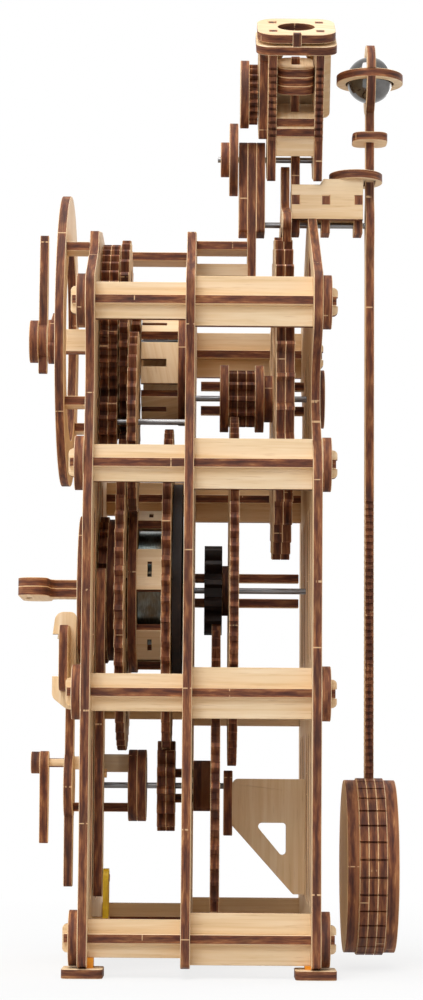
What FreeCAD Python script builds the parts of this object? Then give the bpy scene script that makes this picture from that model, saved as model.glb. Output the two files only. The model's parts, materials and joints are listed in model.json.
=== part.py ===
import FreeCAD, Part
import math
import os

V = FreeCAD.Vector

# A wooden mechanical clock kit of laser-cut plywood, seen with its dial towards -Y.
# Three upright plates carry a key-wound barrel, a gear train, an escapement with a
# pendulum behind, the motion work of the hands in front, a stop lever low in front and
# a tilting weight head on top. All lengths are in millimetres.
# Depths are first counted from the front face of the front plate, and save() moves
# every piece so that the origin lies under the middle of the whole clock.

# Driving sizes

PLY = 3.0                  # thickness of the plywood sheet
FOOT_HEIGHT = 3.0          # the feet are one sheet thick
BACK_CLEAR = 2.7           # from the top bracket's front plate to the back plate
FACE_GAP = 0.3             # side play between a turning piece and a plate
LAYER_GAP = 0.5            # side play between two turning pieces
RUN_FIT = 0.05             # radial play of an arbor in its bearing
BORE_FIT = 0.08            # radial play of a wheel that turns on an arbor

# Heights above the floor

LOWER_Z = 60.0             # lower arbor
ARBOR_STEP = 66.0          # from one arbor of the train to the next one up
DIAL_RISE = 85.3           # from the barrel up to the centre of the dial and the hands
PIVOT_RISE = 5.4           # from the top of the escape wheel to the pendulum's pivot
HEAD_RISE = 22.9           # from the pendulum's pivot to the axle of the tilting head

# Beams

WASHER_R = 8.75
WASHER_EDGE = 0.75         # from a washer to the side of the plate
BEAM_CLEAR = 0.5           # from the tips of a wheel to a beam
FLANGE_HALF = 4.0
WEB_FRONT_HALF = 6.0
WEB_REAR_HALF = 8.15

# Arbors and pegs

ARBOR_R = 1.0              # thin round rods
WINDING_R = 2.5            # the thick winding arbor
PEG = 3.0                  # side of the square pegs that tie stacked layers
PEG_OFFSET = 4.2           # from the arbor to the middle of a peg

# Tooth form, as shares of the module

ADDENDUM = 1.0
DEDENDUM = 1.25
BACKLASH = 0.15
WHEEL_TIP, WHEEL_ROOT = 0.45, 1.45      # tooth thickness against the pitch line
PINION_TIP, PINION_ROOT = 0.45, 0.95
PINION_LIMIT = 20                       # up to here a gear has pinion leaves

# Teeth of the train, from the barrel to the escape wheel

GREAT_TEETH = 52
LOWER_PINION_TEETH = 13
LOWER_WHEEL_TEETH = 52
REAR_PINION_TEETH = 13
REAR_WHEEL_TEETH = 77
ESCAPE_PINION_TEETH = 11
ESCAPE_TEETH = 32

# Teeth of the motion work, from the barrel to the hour hand

DRIVE_TEETH = 54
MINUTE_TEETH = 34
CANNON_TEETH = 12
MOTION_WHEEL_TEETH = 32
MOTION_PINION_TEETH = 10
HOUR_TEETH = 45
MOTION_DISTANCE = 39.0     # from the dial axis to the motion arbor
MOTION_X = 24.0            # the motion arbor stands this far to the right

# Barrel and winding

DRUM_WIDTH = 8.6
DRUM_R = 28.0
DRUM_SLATS = 6
SLAT_WIDTH = 14.0
SLAT_TENON = 6.0
SLAT_FIRST_ANGLE = 11.5
RATCHET_R = 25.0
RATCHET_TEETH = 24
RATCHET_DEPTH = 2.6
RATCHET_COVER_R = 24.0
WINDING_DISC_R = 25.0
KEY_HALF_WIDTH = 16.0
KEY_LENGTH = 20.3          # from the winding disc to the end of the key
KEY_STEM_HALF = 5.0
KEY_STEM_LENGTH = 9.5
SPRING_TURNS = 7
SPRING_BAND = 0.7          # thickness of the steel band
SPRING_HUB_R = 6.5
SPRING_HUB_CLEAR = 1.0     # from the hub to the first turn
SPRING_WALL_CLEAR = 1.4    # from the last turn to the drum's slats

# Escapement and pendulum

ESCAPE_R = 55.2
ESCAPE_TOOTH_DEPTH = 6.0
ESCAPE_TIP_HALF = 0.55
ESCAPE_LEAD_HALF = 1.0
ESCAPE_BACK_HALF = 1.7
ANCHOR_SPAN_PITCHES = 4.5  # teeth spanned from pallet to pallet
PALLET_CLEAR = 0.35        # from a pallet to the tooth tips at mid swing
PENDULUM_SWING = 7.0       # degrees to each side
BOB_GROUND = 4.1           # from the floor to the bob
BOB_R = 29.5
BOB_DISC_STEP = 0.75       # the plain discs are this much smaller than the notched layers
BOB_DISC_THICK = 4.0
BOB_NOTCHES = 32
BALL_RISE = 51.4           # from the pivot to the ball
BALL_R = 8.0
BALL_FIT = 0.3             # play of the ball in its cage
CAGE_WIDTH = 3.7
BALL_RING_WIDTH = 3.2
COLLAR_RISE = 30.4
ROD_HALF = 3.5
ROD_NECK_HALF = 2.2
RACK_PITCH = 2.3           # notches of the adjusting racks
RACK_DEPTH = 0.8
RACK_LENGTH = 94.4         # length of the notched edge above the bob

# Tilting head

HEAD_LEAN = 28.0           # degrees that the head leans at rest
HEAD_TILT_RANGE = 56.0     # degrees from stop to stop
HEAD_HALF_WIDTH = 12.5
HEAD_TOP = 39.6            # underside of the collar plate above the head axle
HEAD_CLEAR = 2.0           # from the head's front wall to the anchor behind it
HEAD_INSIDE = 12.9         # clear depth between the two walls
CAP_HOLE_R = 6.3
HEAD_WHEEL_H = 23.0
HEAD_WHEEL_TEETH = 20
HEAD_WHEEL_MODULE = 0.93
HEAD_DISC_R = 11.5

# Dial, hands, panel and stop lever

DIAL_R = 49.7
DIAL_RING_WIDTH = 15.7
DIAL_STANDOFF = 7.6        # from the front plate to the dial
MINUTE_HAND_LENGTH = 37.0
HOUR_HAND_LENGTH = 27.0
PIPE_SIDE = 7.6
PANEL_HALF_WIDTH = 30.0
PANEL_HEIGHT = 21.5
PANEL_RISE = 31.0          # from the lower arbor to the panel
STOP_UP, STOP_DOWN = 28.0, 34.0
CRANK_OFFSET = 7.4

# Places that follow from these sizes


def module_of(distance, teeth_a, teeth_b):
    return 2 * distance / (teeth_a + teeth_b)


def tip_radius(teeth, module):
    return teeth * module / 2 + ADDENDUM * module


half_ply = PLY / 2
BARREL_Z = LOWER_Z + ARBOR_STEP
ESCAPE_Z = BARREL_Z + ARBOR_STEP
DIAL_Z = BARREL_Z + DIAL_RISE
PENDULUM_Z = ESCAPE_Z + ESCAPE_R + PIVOT_RISE
HEAD_Z = PENDULUM_Z + HEAD_RISE
BALL_Z = PENDULUM_Z + BALL_RISE
COLLAR_Z = PENDULUM_Z + COLLAR_RISE
BOB_Z = BOB_GROUND + BOB_R
BOB_DISC_R = BOB_R - BOB_DISC_STEP
CAGE_HOLE_R = BALL_R + BALL_FIT
CAGE_R = CAGE_HOLE_R + CAGE_WIDTH
BALL_RING_R = CAGE_HOLE_R + BALL_RING_WIDTH
DIAL_HOLE_R = DIAL_R - DIAL_RING_WIDTH
PANEL_BOTTOM = LOWER_Z + PANEL_RISE
PANEL_TOP = PANEL_BOTTOM + PANEL_HEIGHT
slat_r = DRUM_R - 3.4
SPRING_INNER_R = SPRING_HUB_R + SPRING_HUB_CLEAR
SPRING_OUTER_R = slat_r - half_ply - SPRING_WALL_CLEAR - SPRING_BAND
train_module = module_of(ARBOR_STEP, GREAT_TEETH, LOWER_PINION_TEETH)
drive_module = module_of(DIAL_RISE, DRIVE_TEETH, MINUTE_TEETH)
escape_module = module_of(ARBOR_STEP, REAR_WHEEL_TEETH, ESCAPE_PINION_TEETH)

# The beams cross the bays between the wheels, as far out as the widest wheel asks

BEAM_LEVELS = (FOOT_HEIGHT + 9.2, LOWER_Z + 0.447 * ARBOR_STEP, BARREL_Z + 0.559 * ARBOR_STEP,
               ESCAPE_Z + 0.360 * ARBOR_STEP)
great_tip_r = tip_radius(GREAT_TEETH, train_module)
WHEELS_BY_BEAMS = (
    (BARREL_Z, great_tip_r, WEB_FRONT_HALF),
    (BARREL_Z, tip_radius(DRIVE_TEETH, drive_module), WEB_FRONT_HALF),
    (LOWER_Z, tip_radius(LOWER_WHEEL_TEETH, train_module), WEB_REAR_HALF),
    (BARREL_Z, tip_radius(REAR_WHEEL_TEETH, escape_module), WEB_REAR_HALF),
    (ESCAPE_Z, ESCAPE_R, WEB_REAR_HALF))


def beam_place(level, wheel_z, wheel_r, web_half):
    """How far from the centre plane a beam must stand to clear one wheel."""
    reach = wheel_r + BEAM_CLEAR
    places = [0.0]
    for half_depth, half_height in ((half_ply, web_half), (FLANGE_HALF, half_ply)):
        rise = max(0.0, abs(level - wheel_z) - half_height)
        if rise < reach:
            places.append(math.sqrt(reach ** 2 - rise ** 2) + half_depth)
    return max(places)


BEAM_X = max(beam_place(level, *wheel) for level in BEAM_LEVELS for wheel in WHEELS_BY_BEAMS)
FRAME_HALF_WIDTH = BEAM_X + WASHER_R + WASHER_EDGE
FOOT_X = BEAM_X + 0.5

# Layers in depth, counted from the front face of the front plate

front_plate_y = 0.0
front_bay_y = front_plate_y + PLY
layer1_y = front_bay_y + FACE_GAP                 # ratchet and hour wheel
layer2_y = layer1_y + PLY                         # ratchet cover and hour wheel
layer3_y = layer2_y + PLY + LAYER_GAP             # drive wheel and minute wheel
layer4_y = layer3_y + PLY + LAYER_GAP             # drum cap and motion wheel
drum_y = layer4_y + PLY
great_y = drum_y + DRUM_WIDTH
drum_back_y = great_y + PLY + FACE_GAP
middle_plate_y = drum_back_y + PLY + 2 * LAYER_GAP
rear_bay_y = middle_plate_y + PLY
lower_pinion_y = great_y + PLY / 2 - PLY
rear_pinion_y = rear_bay_y + PLY + LAYER_GAP
lower_wheel_y = rear_pinion_y + PLY - 0.4
rear_block_y = rear_pinion_y + 2 * PLY
REAR_BLOCK = 2.2
rear_wheel_y = rear_block_y + REAR_BLOCK
lower_bearing_y = lower_wheel_y + PLY + 1.4
escape_pinion_y = rear_wheel_y - 0.4
escape_flange_y = escape_pinion_y - PLY
escape_rear_flange_y = escape_pinion_y + 3 * PLY
ESCAPE_BLOCK = 3.1
escape_wheel_y = escape_rear_flange_y + PLY + ESCAPE_BLOCK

anchor_y = escape_wheel_y + 2.4
head_wall_y = anchor_y - HEAD_CLEAR - PLY
head_rear_y = head_wall_y + PLY + HEAD_INSIDE
head_cover_y = head_wall_y - PLY
post_y = head_wall_y - LAYER_GAP - 3 * PLY
axle_disc_y = post_y - FACE_GAP - PLY
head_wheel_y = head_cover_y - FACE_GAP - PLY
head_mid_y = head_wall_y + PLY + HEAD_INSIDE / 2

bracket_y = anchor_y + PLY + LAYER_GAP
back_plate_y = bracket_y + PLY + BACK_CLEAR
back_face_y = back_plate_y + PLY
bracket_mid_y = head_rear_y + PLY
bracket_end_y = bracket_mid_y + 11.2
bracket_back_y = bracket_end_y + PLY
rod_y = bracket_back_y + 1.1
bob_front_y = rod_y - PLY - BOB_DISC_THICK
bob_back_y = rod_y + 2 * PLY + BOB_DISC_THICK

winding_disc_y = front_plate_y - LAYER_GAP - PLY
key_end_y = winding_disc_y - KEY_LENGTH
dial_y = front_plate_y - DIAL_STANDOFF - PLY
hour_hand_y = dial_y - 1.9 - PLY
minute_hand_y = hour_hand_y - FACE_GAP - PLY
minute_boss_y = minute_hand_y - PLY
panel_y = front_plate_y - 5.9 - PLY
stop_lever_y = front_plate_y - 4.9 - PLY
pointer_y = stop_lever_y - 5.4 - PLY
pointer_boss_y = pointer_y - PLY
stop_disc_y = layer4_y + 0.4

ball_ring_back_y = rod_y + PLY / 2 + BALL_RING_R

# The origin lies midway between the key's end and the back of the ball's level ring
SHIFT_Y = -(key_end_y + ball_ring_back_y) / 2


# Small tools

def save(name, solids):
    shapes = []
    for solid in solids:
        part = solid.copy()
        part.translate(V(0, SHIFT_Y, 0))
        shapes.append(part)
    shape = shapes[0] if len(shapes) == 1 else Part.makeCompound(shapes)
    shape.exportStep("parts/" + name + ".step")
    valid = all(s.isValid() for s in shape.Solids)
    print(name, len(shape.Solids), round(sum(s.Volume for s in shape.Solids), 1), valid)


def box(x0, x1, y0, y1, z0, z1):
    """A block between two corners."""
    return Part.makeBox(x1 - x0, y1 - y0, z1 - z0, V(x0, y0, z0))


def rod(x, z, r, y0, y1):
    """A round bar along the depth of the clock."""
    return Part.makeCylinder(r, y1 - y0, V(x, y0, z), V(0, 1, 0))


def corner_points(before, point, after):
    """Where a rounded corner leaves its two edges, and the middle of its arc."""
    corner = V(point[0], point[1], 0)
    a = V(before[0], before[1], 0) - corner
    b = V(after[0], after[1], 0) - corner
    a.normalize()
    b.normalize()
    half = a.getAngle(b) / 2
    reach = point[2] / math.tan(half)
    middle = a + b
    middle.normalize()
    depth = point[2] / math.sin(half) - point[2]
    return corner + a * reach, corner + middle * depth, corner + b * reach


def outline(points, place):
    """A closed wire through points (a, b) or (a, b, radius); place makes each one a vector."""
    starts, edges = [], []
    count = len(points)
    for i, point in enumerate(points):
        if len(point) == 3 and point[2] > 0:
            starts.append(corner_points(points[i - 1], point, points[(i + 1) % count]))
        else:
            spot = V(point[0], point[1], 0)
            starts.append((spot, None, spot))
    for i, (first, middle, last) in enumerate(starts):
        if middle is not None:
            edges.append(Part.Arc(place(first), place(middle), place(last)).toShape())
        following = starts[(i + 1) % count][0]
        if last.distanceToPoint(following) > 1e-6:
            edges.append(Part.makeLine(place(last), place(following)))
    return Part.Wire(edges)


def plate_xz(points, y, thick=PLY):
    """A sheet that faces the front, from an outline in x and z."""
    wire = outline(points, lambda p: V(p.x, y, p.y))
    return Part.Face(wire).extrude(V(0, thick, 0))


def plate_yz(points, x, thick=PLY):
    """A sheet that faces sideways, from an outline in y and z."""
    wire = outline(points, lambda p: V(x, p.x, p.y))
    return Part.Face(wire).extrude(V(thick, 0, 0))


def plate_xy(points, z, thick=PLY):
    """A level sheet, from an outline in x and y."""
    wire = outline(points, lambda p: V(p.x, p.y, z))
    return Part.Face(wire).extrude(V(0, 0, thick))


def slot(x0, x1, z0, z1, y, r=3.0, thick=PLY):
    """A window with rounded corners through a sheet that faces the front."""
    r = min(r, (x1 - x0) / 2 - 0.01, (z1 - z0) / 2 - 0.01)
    return plate_xz([(x0, z0, r), (x1, z0, r), (x1, z1, r), (x0, z1, r)], y, thick)


def ring_of_holes(x, z, count, radius, hole, y, thick=PLY, first=90.0):
    """Round holes in a circle, to lighten a wheel."""
    holes = []
    for i in range(count):
        a = math.radians(first + 360.0 * i / count)
        holes.append(rod(x + radius * math.cos(a), z + radius * math.sin(a), hole, y, y + thick))
    return holes


def toothed(x, z, teeth, module, y, first, thick=PLY):
    """A toothed sheet; first is the angle in degrees of the middle of one tooth."""
    pitch_r = teeth * module / 2
    tip_r = pitch_r + ADDENDUM * module
    root_r = pitch_r - DEDENDUM * module
    half = (math.pi * module / 2 - BACKLASH * module) / 2 / pitch_r
    if teeth > PINION_LIMIT:
        side = [(root_r, half * WHEEL_ROOT), (tip_r, half * WHEEL_TIP)]
    else:
        side = [(root_r, half * PINION_ROOT), (pitch_r, half), (tip_r, half * PINION_TIP)]
    points = []
    for i in range(teeth):
        middle = math.radians(first) + 2 * math.pi * i / teeth
        profile = [(r, -a) for r, a in side] + [(r, a) for r, a in reversed(side)]
        for r, a in profile:
            points.append((x + r * math.cos(middle + a), z + r * math.sin(middle + a)))
    return plate_xz(points, y, thick)


def peg_pair(x, z, y0, y1, offset=PEG_OFFSET):
    """Two square pegs, above and below an arbor."""
    half = PEG / 2
    return [box(x - half, x + half, y0, y1, z + s * offset - half, z + s * offset + half)
            for s in (1, -1)]


def cut(shape, tools):
    for tool in tools:
        shape = shape.cut(tool)
    return shape.Solids[0] if len(shape.Solids) == 1 else shape


os.makedirs("parts", exist_ok=True)

# Beams that tie the three plates: an upright web crossed by a level flange

TENON_WEB_HALF = 4.5
TENON_FLANGE_HALF = 3.0
TENON_REACH = 2.0          # how far a tenon stands out past its washer
tenon_front_y = front_plate_y - PLY - TENON_REACH
tenon_back_y = back_face_y + PLY + TENON_REACH
lap_y = middle_plate_y + half_ply


def beam_web(x, z):
    """The upright sheet of a beam, slotted behind the middle plate for the flange."""
    t, f, r = TENON_WEB_HALF, WEB_FRONT_HALF, WEB_REAR_HALF
    web = plate_yz([
        (tenon_front_y, z - t, 1.5), (front_bay_y, z - t), (front_bay_y, z - f),
        (rear_bay_y, z - f), (rear_bay_y, z - r), (back_plate_y, z - r),
        (back_plate_y, z - t), (tenon_back_y, z - t, 1.5), (tenon_back_y, z + t, 1.5),
        (back_plate_y, z + t), (back_plate_y, z + r), (rear_bay_y, z + r),
        (rear_bay_y, z + f), (front_bay_y, z + f), (front_bay_y, z + t),
        (tenon_front_y, z + t, 1.5)], x - half_ply)
    return cut(web, [box(x - PLY, x + PLY, lap_y, tenon_back_y + 1, z - half_ply, z + half_ply)])


def beam_flange(x, z):
    """The level sheet of a beam, slotted in front of the middle plate for the web."""
    t, f = TENON_FLANGE_HALF, FLANGE_HALF
    flange = plate_xy([
        (x - t, tenon_front_y + 0.5), (x + t, tenon_front_y + 0.5), (x + t, front_bay_y),
        (x + f, front_bay_y), (x + f, back_plate_y), (x + t, back_plate_y),
        (x + t, tenon_back_y - 0.5), (x - t, tenon_back_y - 0.5), (x - t, back_plate_y),
        (x - f, back_plate_y), (x - f, front_bay_y), (x - t, front_bay_y)], z - half_ply)
    return cut(flange, [box(x - half_ply, x + half_ply, tenon_front_y, lap_y, z - PLY, z + PLY)])


def beam_cross(x, z, y, half_web, half_flange):
    """The cross-shaped hole that a beam needs in a sheet."""
    upright = box(x - half_ply, x + half_ply, y - 1, y + PLY + 1, z - half_web, z + half_web)
    level = box(x - half_flange, x + half_flange, y - 1, y + PLY + 1, z - half_ply, z + half_ply)
    return upright.fuse(level)


beam_places = [(side * BEAM_X, z) for z in BEAM_LEVELS for side in (1, -1)]


def beam_holes(y, half_web, half_flange):
    return [beam_cross(x, z, y, half_web, half_flange) for x, z in beam_places]


def washer(x, z, y):
    cross = beam_cross(x, z, y, TENON_WEB_HALF, TENON_FLANGE_HALF)
    return rod(x, z, WASHER_R, y, y + PLY).cut(cross)


save("beam_webs", [beam_web(x, z) for x, z in beam_places])
save("beam_flanges", [beam_flange(x, z) for x, z in beam_places])
save("beam_washers", [washer(x, z, y) for y in (front_plate_y - PLY, back_face_y)
                      for x, z in beam_places])

# The three upright plates

MOTION_Z = DIAL_Z - math.sqrt(MOTION_DISTANCE ** 2 - MOTION_X ** 2)
PLATE_TOP = PENDULUM_Z - 4.8
SHOULDER_Z = BEAM_LEVELS[3] + 6.7
WAIST = 9.0                # how far the front and middle plates draw in beside the dial
TOP_HALF = FRAME_HALF_WIDTH / 2
WAIST_Z = ESCAPE_Z
TONGUE_HALF = 3.0
FOOT_GROUND = 0.4          # a tongue stops short of the floor
TIE_X0, TIE_X1 = -28.0, -16.0
TIE_Z = PLATE_TOP - 4.7
BRIDGE_HALF = 6.0
BRIDGE_Z = PLATE_TOP - 5.1
BRACE_Z0, BRACE_Z1 = BRIDGE_Z - 8.2, BRIDGE_Z - 4.0
JOURNAL_R = 11.8
MIDDLE_JOURNAL_R = 7.0
PIPE_HOLE_R = PIPE_SIDE / math.sqrt(2) + 0.08
CLICK_X = RATCHET_R + 2.0
CLICK_Z = LOWER_Z + 4.0
BAND_PEG_Z = LOWER_Z - 44.0
DIAL_SPACER_ANGLE = 38.0
PANEL_BRACKET_X = 14.0
BRACKET_FOOT_Z0, BRACKET_FOOT_Z1 = PANEL_BOTTOM - 6.0, PANEL_BOTTOM + 5.0
spacer_r = (DIAL_R + DIAL_HOLE_R) / 2
spacer_x = spacer_r * math.cos(math.radians(DIAL_SPACER_ANGLE))
spacer_rise = spacer_r * math.sin(math.radians(DIAL_SPACER_ANGLE))
dial_spacers = [(side * spacer_x, DIAL_Z + dz) for side in (1, -1)
                for dz in (spacer_rise, -spacer_rise)]


def lower_side():
    """The right edge that all three plates share, from the foot past the barrel."""
    w = FRAME_HALF_WIDTH
    return [(FOOT_X + TONGUE_HALF, FOOT_HEIGHT), (w, FOOT_HEIGHT + 1, 1),
            (w - 2, LOWER_Z - 15, 60), (w, LOWER_Z + 15, 60), (w - 1.5, BARREL_Z - 16, 60)]


def right_side(waist, top_half):
    """The right edge of a front or middle plate, from the foot to the top."""
    w = FRAME_HALF_WIDTH
    return lower_side() + [
            (w, BARREL_Z + 24, 40), (w - waist, WAIST_Z, 28), (w, SHOULDER_Z - 8, 6),
            (w, SHOULDER_Z, 3),
            (top_half + 6, PLATE_TOP - 12, 8), (top_half, PLATE_TOP, 4)]


def tongue(side):
    """The tongue that stands in a foot, counted from its inner edge to its outer one."""
    inner, outer = FOOT_X - TONGUE_HALF, FOOT_X + TONGUE_HALF
    return [(side * inner, FOOT_HEIGHT), (side * inner, FOOT_GROUND), (side * outer, FOOT_GROUND)]


def mirrored(points):
    return [(-p[0],) + tuple(p[1:]) for p in reversed(points)]


def plate_outline(edge, standing=True):
    """The outline of a plate; a standing one has tongues for its feet."""
    points = edge + mirrored(edge)
    if standing:
        points += list(reversed(tongue(-1))) + tongue(1)
    return points


# Windows: their outer edges keep a rail inside the beams

FRONT_WINDOW, MIDDLE_WINDOW, BACK_WINDOW = 12.0, 18.0, 9.0
BACK_FIRST_X = 9.0         # inner edge of the back plate's first window
BACK_WAIST = 33.0 / 64.0 * FRAME_HALF_WIDTH
window_x = BEAM_X - FLANGE_HALF - 4.5
back_pitch = (window_x + 2.0 - BACK_WINDOW - BACK_FIRST_X) / 2
window_rows = ((LOWER_Z - 36, LOWER_Z + 16), (BARREL_Z - 24, BARREL_Z + 24))
front_windows = []
middle_windows = []
back_windows = []


def side_slot(side, inner, outer, z0, z1, y, r):
    low, high = sorted((side * inner, side * outer))
    return slot(low, high, z0, z1, y, r)


for side in (1, -1):
    for z0, z1 in window_rows:
        front_windows.append(side_slot(side, window_x - FRONT_WINDOW, window_x, z0, z1,
                                       front_plate_y, 5))
        middle_windows.append(side_slot(side, window_x - MIDDLE_WINDOW, window_x, z0, z1,
                                        middle_plate_y, 6))
        for i in range(3):
            inner = BACK_FIRST_X + i * back_pitch
            back_windows.append(side_slot(side, inner, inner + BACK_WINDOW, z0 - 2, z1 + 2,
                                          back_plate_y, 4))
    eye_z = BEAM_LEVELS[2] - 5.9
    front_windows.append(rod(side * 17, eye_z, 7, front_plate_y, front_bay_y))
    middle_windows.append(rod(side * 20, eye_z, 8, middle_plate_y, rear_bay_y))
    middle_windows.append(rod(side * 26, BEAM_LEVELS[3] + 4.7, 9, middle_plate_y, rear_bay_y))
    back_windows.append(side_slot(side, BACK_WAIST - 23, BACK_WAIST - 14, ESCAPE_Z - 24,
                                  ESCAPE_Z + 14, back_plate_y, 4))
    back_windows.append(plate_xz([(side * 11, SHOULDER_Z + 4, 2),
                                  (side * (FRAME_HALF_WIDTH - 23), SHOULDER_Z + 4, 2),
                                  (side * 11, PLATE_TOP - 5.3, 2)], back_plate_y))
front_windows.append(slot(-9, 9, LOWER_Z - 38, LOWER_Z - 18, front_plate_y, 6))
middle_windows.append(slot(-9, 9, LOWER_Z - 44, LOWER_Z - 16, middle_plate_y, 6))
middle_windows.append(slot(-9, 9, LOWER_Z + 28, BARREL_Z - 14, middle_plate_y, 6))

front_holes = beam_holes(front_plate_y, TENON_WEB_HALF, TENON_FLANGE_HALF) + front_windows
front_holes += [
    rod(0, LOWER_Z, JOURNAL_R + BORE_FIT, front_plate_y, front_bay_y),
    rod(0, BARREL_Z, WINDING_R + RUN_FIT, front_plate_y, front_bay_y),
    rod(0, DIAL_Z, PIPE_HOLE_R, front_plate_y, front_bay_y),
    rod(MOTION_X, MOTION_Z, ARBOR_R + RUN_FIT, front_plate_y, front_bay_y),
    rod(CLICK_X, CLICK_Z, half_ply, front_plate_y, front_bay_y),
    rod(CLICK_X, BAND_PEG_Z, half_ply, front_plate_y, front_bay_y),
    box(TIE_X0 + 2, TIE_X1 - 2, front_plate_y, front_bay_y, TIE_Z, TIE_Z + PLY)]
for x, z in dial_spacers:
    front_holes.append(box(x - 3, x + 3, front_plate_y, front_bay_y, z - half_ply, z + half_ply))
for side in (1, -1):
    x = side * PANEL_BRACKET_X
    front_holes.append(box(x - half_ply, x + half_ply, front_plate_y, front_bay_y,
                           BRACKET_FOOT_Z0 + 2, BRACKET_FOOT_Z1 - 2))


def top_slope(y):
    """What the top of a plate loses on the side away from the tie."""
    half = TOP_HALF + 6
    return plate_xz([(9, PLATE_TOP), (half, PLATE_TOP - 5.6), (half + 4, PLATE_TOP - 5.6),
                     (half + 4, PLATE_TOP + 1), (9, PLATE_TOP + 1)], y)


front_plate = cut(plate_xz(plate_outline(right_side(WAIST, TOP_HALF)), front_plate_y),
                  front_holes + [top_slope(front_plate_y)])
save("front_plate", [front_plate])

middle_holes = beam_holes(middle_plate_y, WEB_FRONT_HALF, FLANGE_HALF) + middle_windows
for z in (BARREL_Z, ESCAPE_Z, DIAL_Z):
    middle_holes.append(rod(0, z, ARBOR_R + RUN_FIT, middle_plate_y, rear_bay_y))
middle_holes += [
    rod(0, LOWER_Z, MIDDLE_JOURNAL_R + BORE_FIT, middle_plate_y, rear_bay_y),
    rod(MOTION_X, MOTION_Z, ARBOR_R + RUN_FIT, middle_plate_y, rear_bay_y),
    box(TIE_X0 + 2, TIE_X1 - 2, middle_plate_y, rear_bay_y, TIE_Z, TIE_Z + PLY),
    box(2 - BRIDGE_HALF, BRIDGE_HALF - 2, middle_plate_y, rear_bay_y,
        BRIDGE_Z, BRIDGE_Z + PLY),
    box(-half_ply, half_ply, middle_plate_y, rear_bay_y, BRACE_Z0, BRACE_Z1)]
middle_edge = plate_outline(right_side(WAIST, TOP_HALF), standing=False)
middle_plate = cut(plate_xz(middle_edge, middle_plate_y),
                   middle_holes + [top_slope(middle_plate_y)])
save("middle_plate", [middle_plate])

# The fixed cage around the two arbors that end in the middle plate: a disc and six slats

GUARD_SLATS = 6
GUARD_SLAT_R = 15.5
GUARD_SLAT_WIDTH = 14.0
GUARD_DISC_R = 19.0
GUARD_SLOT_LENGTH = 8.5
guard_z = (ESCAPE_Z + DIAL_Z) / 2
guard_disc_y = middle_plate_y - PLY
guard_front_y = layer4_y + PLY + LAYER_GAP


def guard_turn(shape, i):
    turned = shape.copy()
    turned.rotate(V(0, 0, guard_z), V(0, 1, 0), 360.0 * i / GUARD_SLATS)
    return turned


def guard_slat(i):
    """One slat, slotted from its free end, with a tenon in the disc."""
    x0, x1 = GUARD_SLAT_R - half_ply, GUARD_SLAT_R + half_ply
    body = box(x0, x1, guard_front_y, guard_disc_y,
               guard_z - GUARD_SLAT_WIDTH / 2, guard_z + GUARD_SLAT_WIDTH / 2)
    tenon = box(x0, x1, guard_disc_y, middle_plate_y, guard_z - 3, guard_z + 3)
    gap = box(x0, x1, guard_front_y, guard_front_y + GUARD_SLOT_LENGTH,
              guard_z - 1.3, guard_z + 1.3)
    return guard_turn(body.fuse(tenon).removeSplitter().cut(gap), i)


guard_holes = [guard_turn(box(GUARD_SLAT_R - half_ply, GUARD_SLAT_R + half_ply, guard_disc_y,
                              middle_plate_y, guard_z - 3, guard_z + 3), i)
               for i in range(GUARD_SLATS)]
guard_disc = cut(rod(0, guard_z, GUARD_DISC_R, guard_disc_y, middle_plate_y),
                 guard_holes + [rod(0, DIAL_Z, ARBOR_R + 0.5, guard_disc_y, middle_plate_y)])
save("arbor_cage", [guard_disc] + [guard_slat(i) for i in range(GUARD_SLATS)])

GABLE_Z = PENDULUM_Z + 0.9
NECK_TOP = GABLE_Z + 10.0
BRACKET_INNER = 4.0
BRACKET_OUTER = BRACKET_INNER + PLY
w = FRAME_HALF_WIDTH
back_edge = lower_side() + [
             (w, BARREL_Z + 36, 20), (BACK_WAIST, WAIST_Z - 2, 12), (w, SHOULDER_Z - 15, 6),
             (w, SHOULDER_Z + 1, 4),
             (BRACKET_OUTER, GABLE_Z), (BRACKET_INNER, GABLE_Z), (BRACKET_INNER, NECK_TOP)]
GUSSET_TENONS = ((LOWER_Z - 32, LOWER_Z - 24), (LOWER_Z - 10, LOWER_Z - 2))
back_holes = beam_holes(back_plate_y, TENON_WEB_HALF, TENON_FLANGE_HALF) + back_windows
for z in (BARREL_Z, ESCAPE_Z):
    back_holes.append(rod(0, z, ARBOR_R + RUN_FIT, back_plate_y, back_face_y))
back_holes.append(rod(0, PENDULUM_Z, ARBOR_R + 0.5, back_plate_y, back_face_y))
for z0, z1 in GUSSET_TENONS:
    back_holes.append(box(-half_ply, half_ply, back_plate_y, back_face_y, z0, z1))
back_plate = cut(plate_xz(plate_outline(back_edge), back_plate_y), back_holes)
save("back_plate", [back_plate])

# Feet under the front and the back plate, with a slot for the plate's tongue

FOOT_HALF_LENGTH = 6.5
FOOT_HALF_WIDTH = 8.0


def foot(x, y):
    middle = y + half_ply
    base = plate_xy([(x - FOOT_HALF_WIDTH, middle - FOOT_HALF_LENGTH, 2),
                     (x + FOOT_HALF_WIDTH, middle - FOOT_HALF_LENGTH, 2),
                     (x + FOOT_HALF_WIDTH, middle + FOOT_HALF_LENGTH, 2),
                     (x - FOOT_HALF_WIDTH, middle + FOOT_HALF_LENGTH, 2)], 0, FOOT_HEIGHT)
    hole = box(x - TONGUE_HALF, x + TONGUE_HALF, y, y + PLY, -1, FOOT_HEIGHT + 1)
    return base.cut(hole)


foot_places = [(side * FOOT_X, y) for side in (1, -1) for y in (front_plate_y, back_plate_y)]
save("feet", [foot(x, y) for x, y in foot_places])

# Ties at the top: one between the front plates, a bridge and a brace to the head's post

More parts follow.
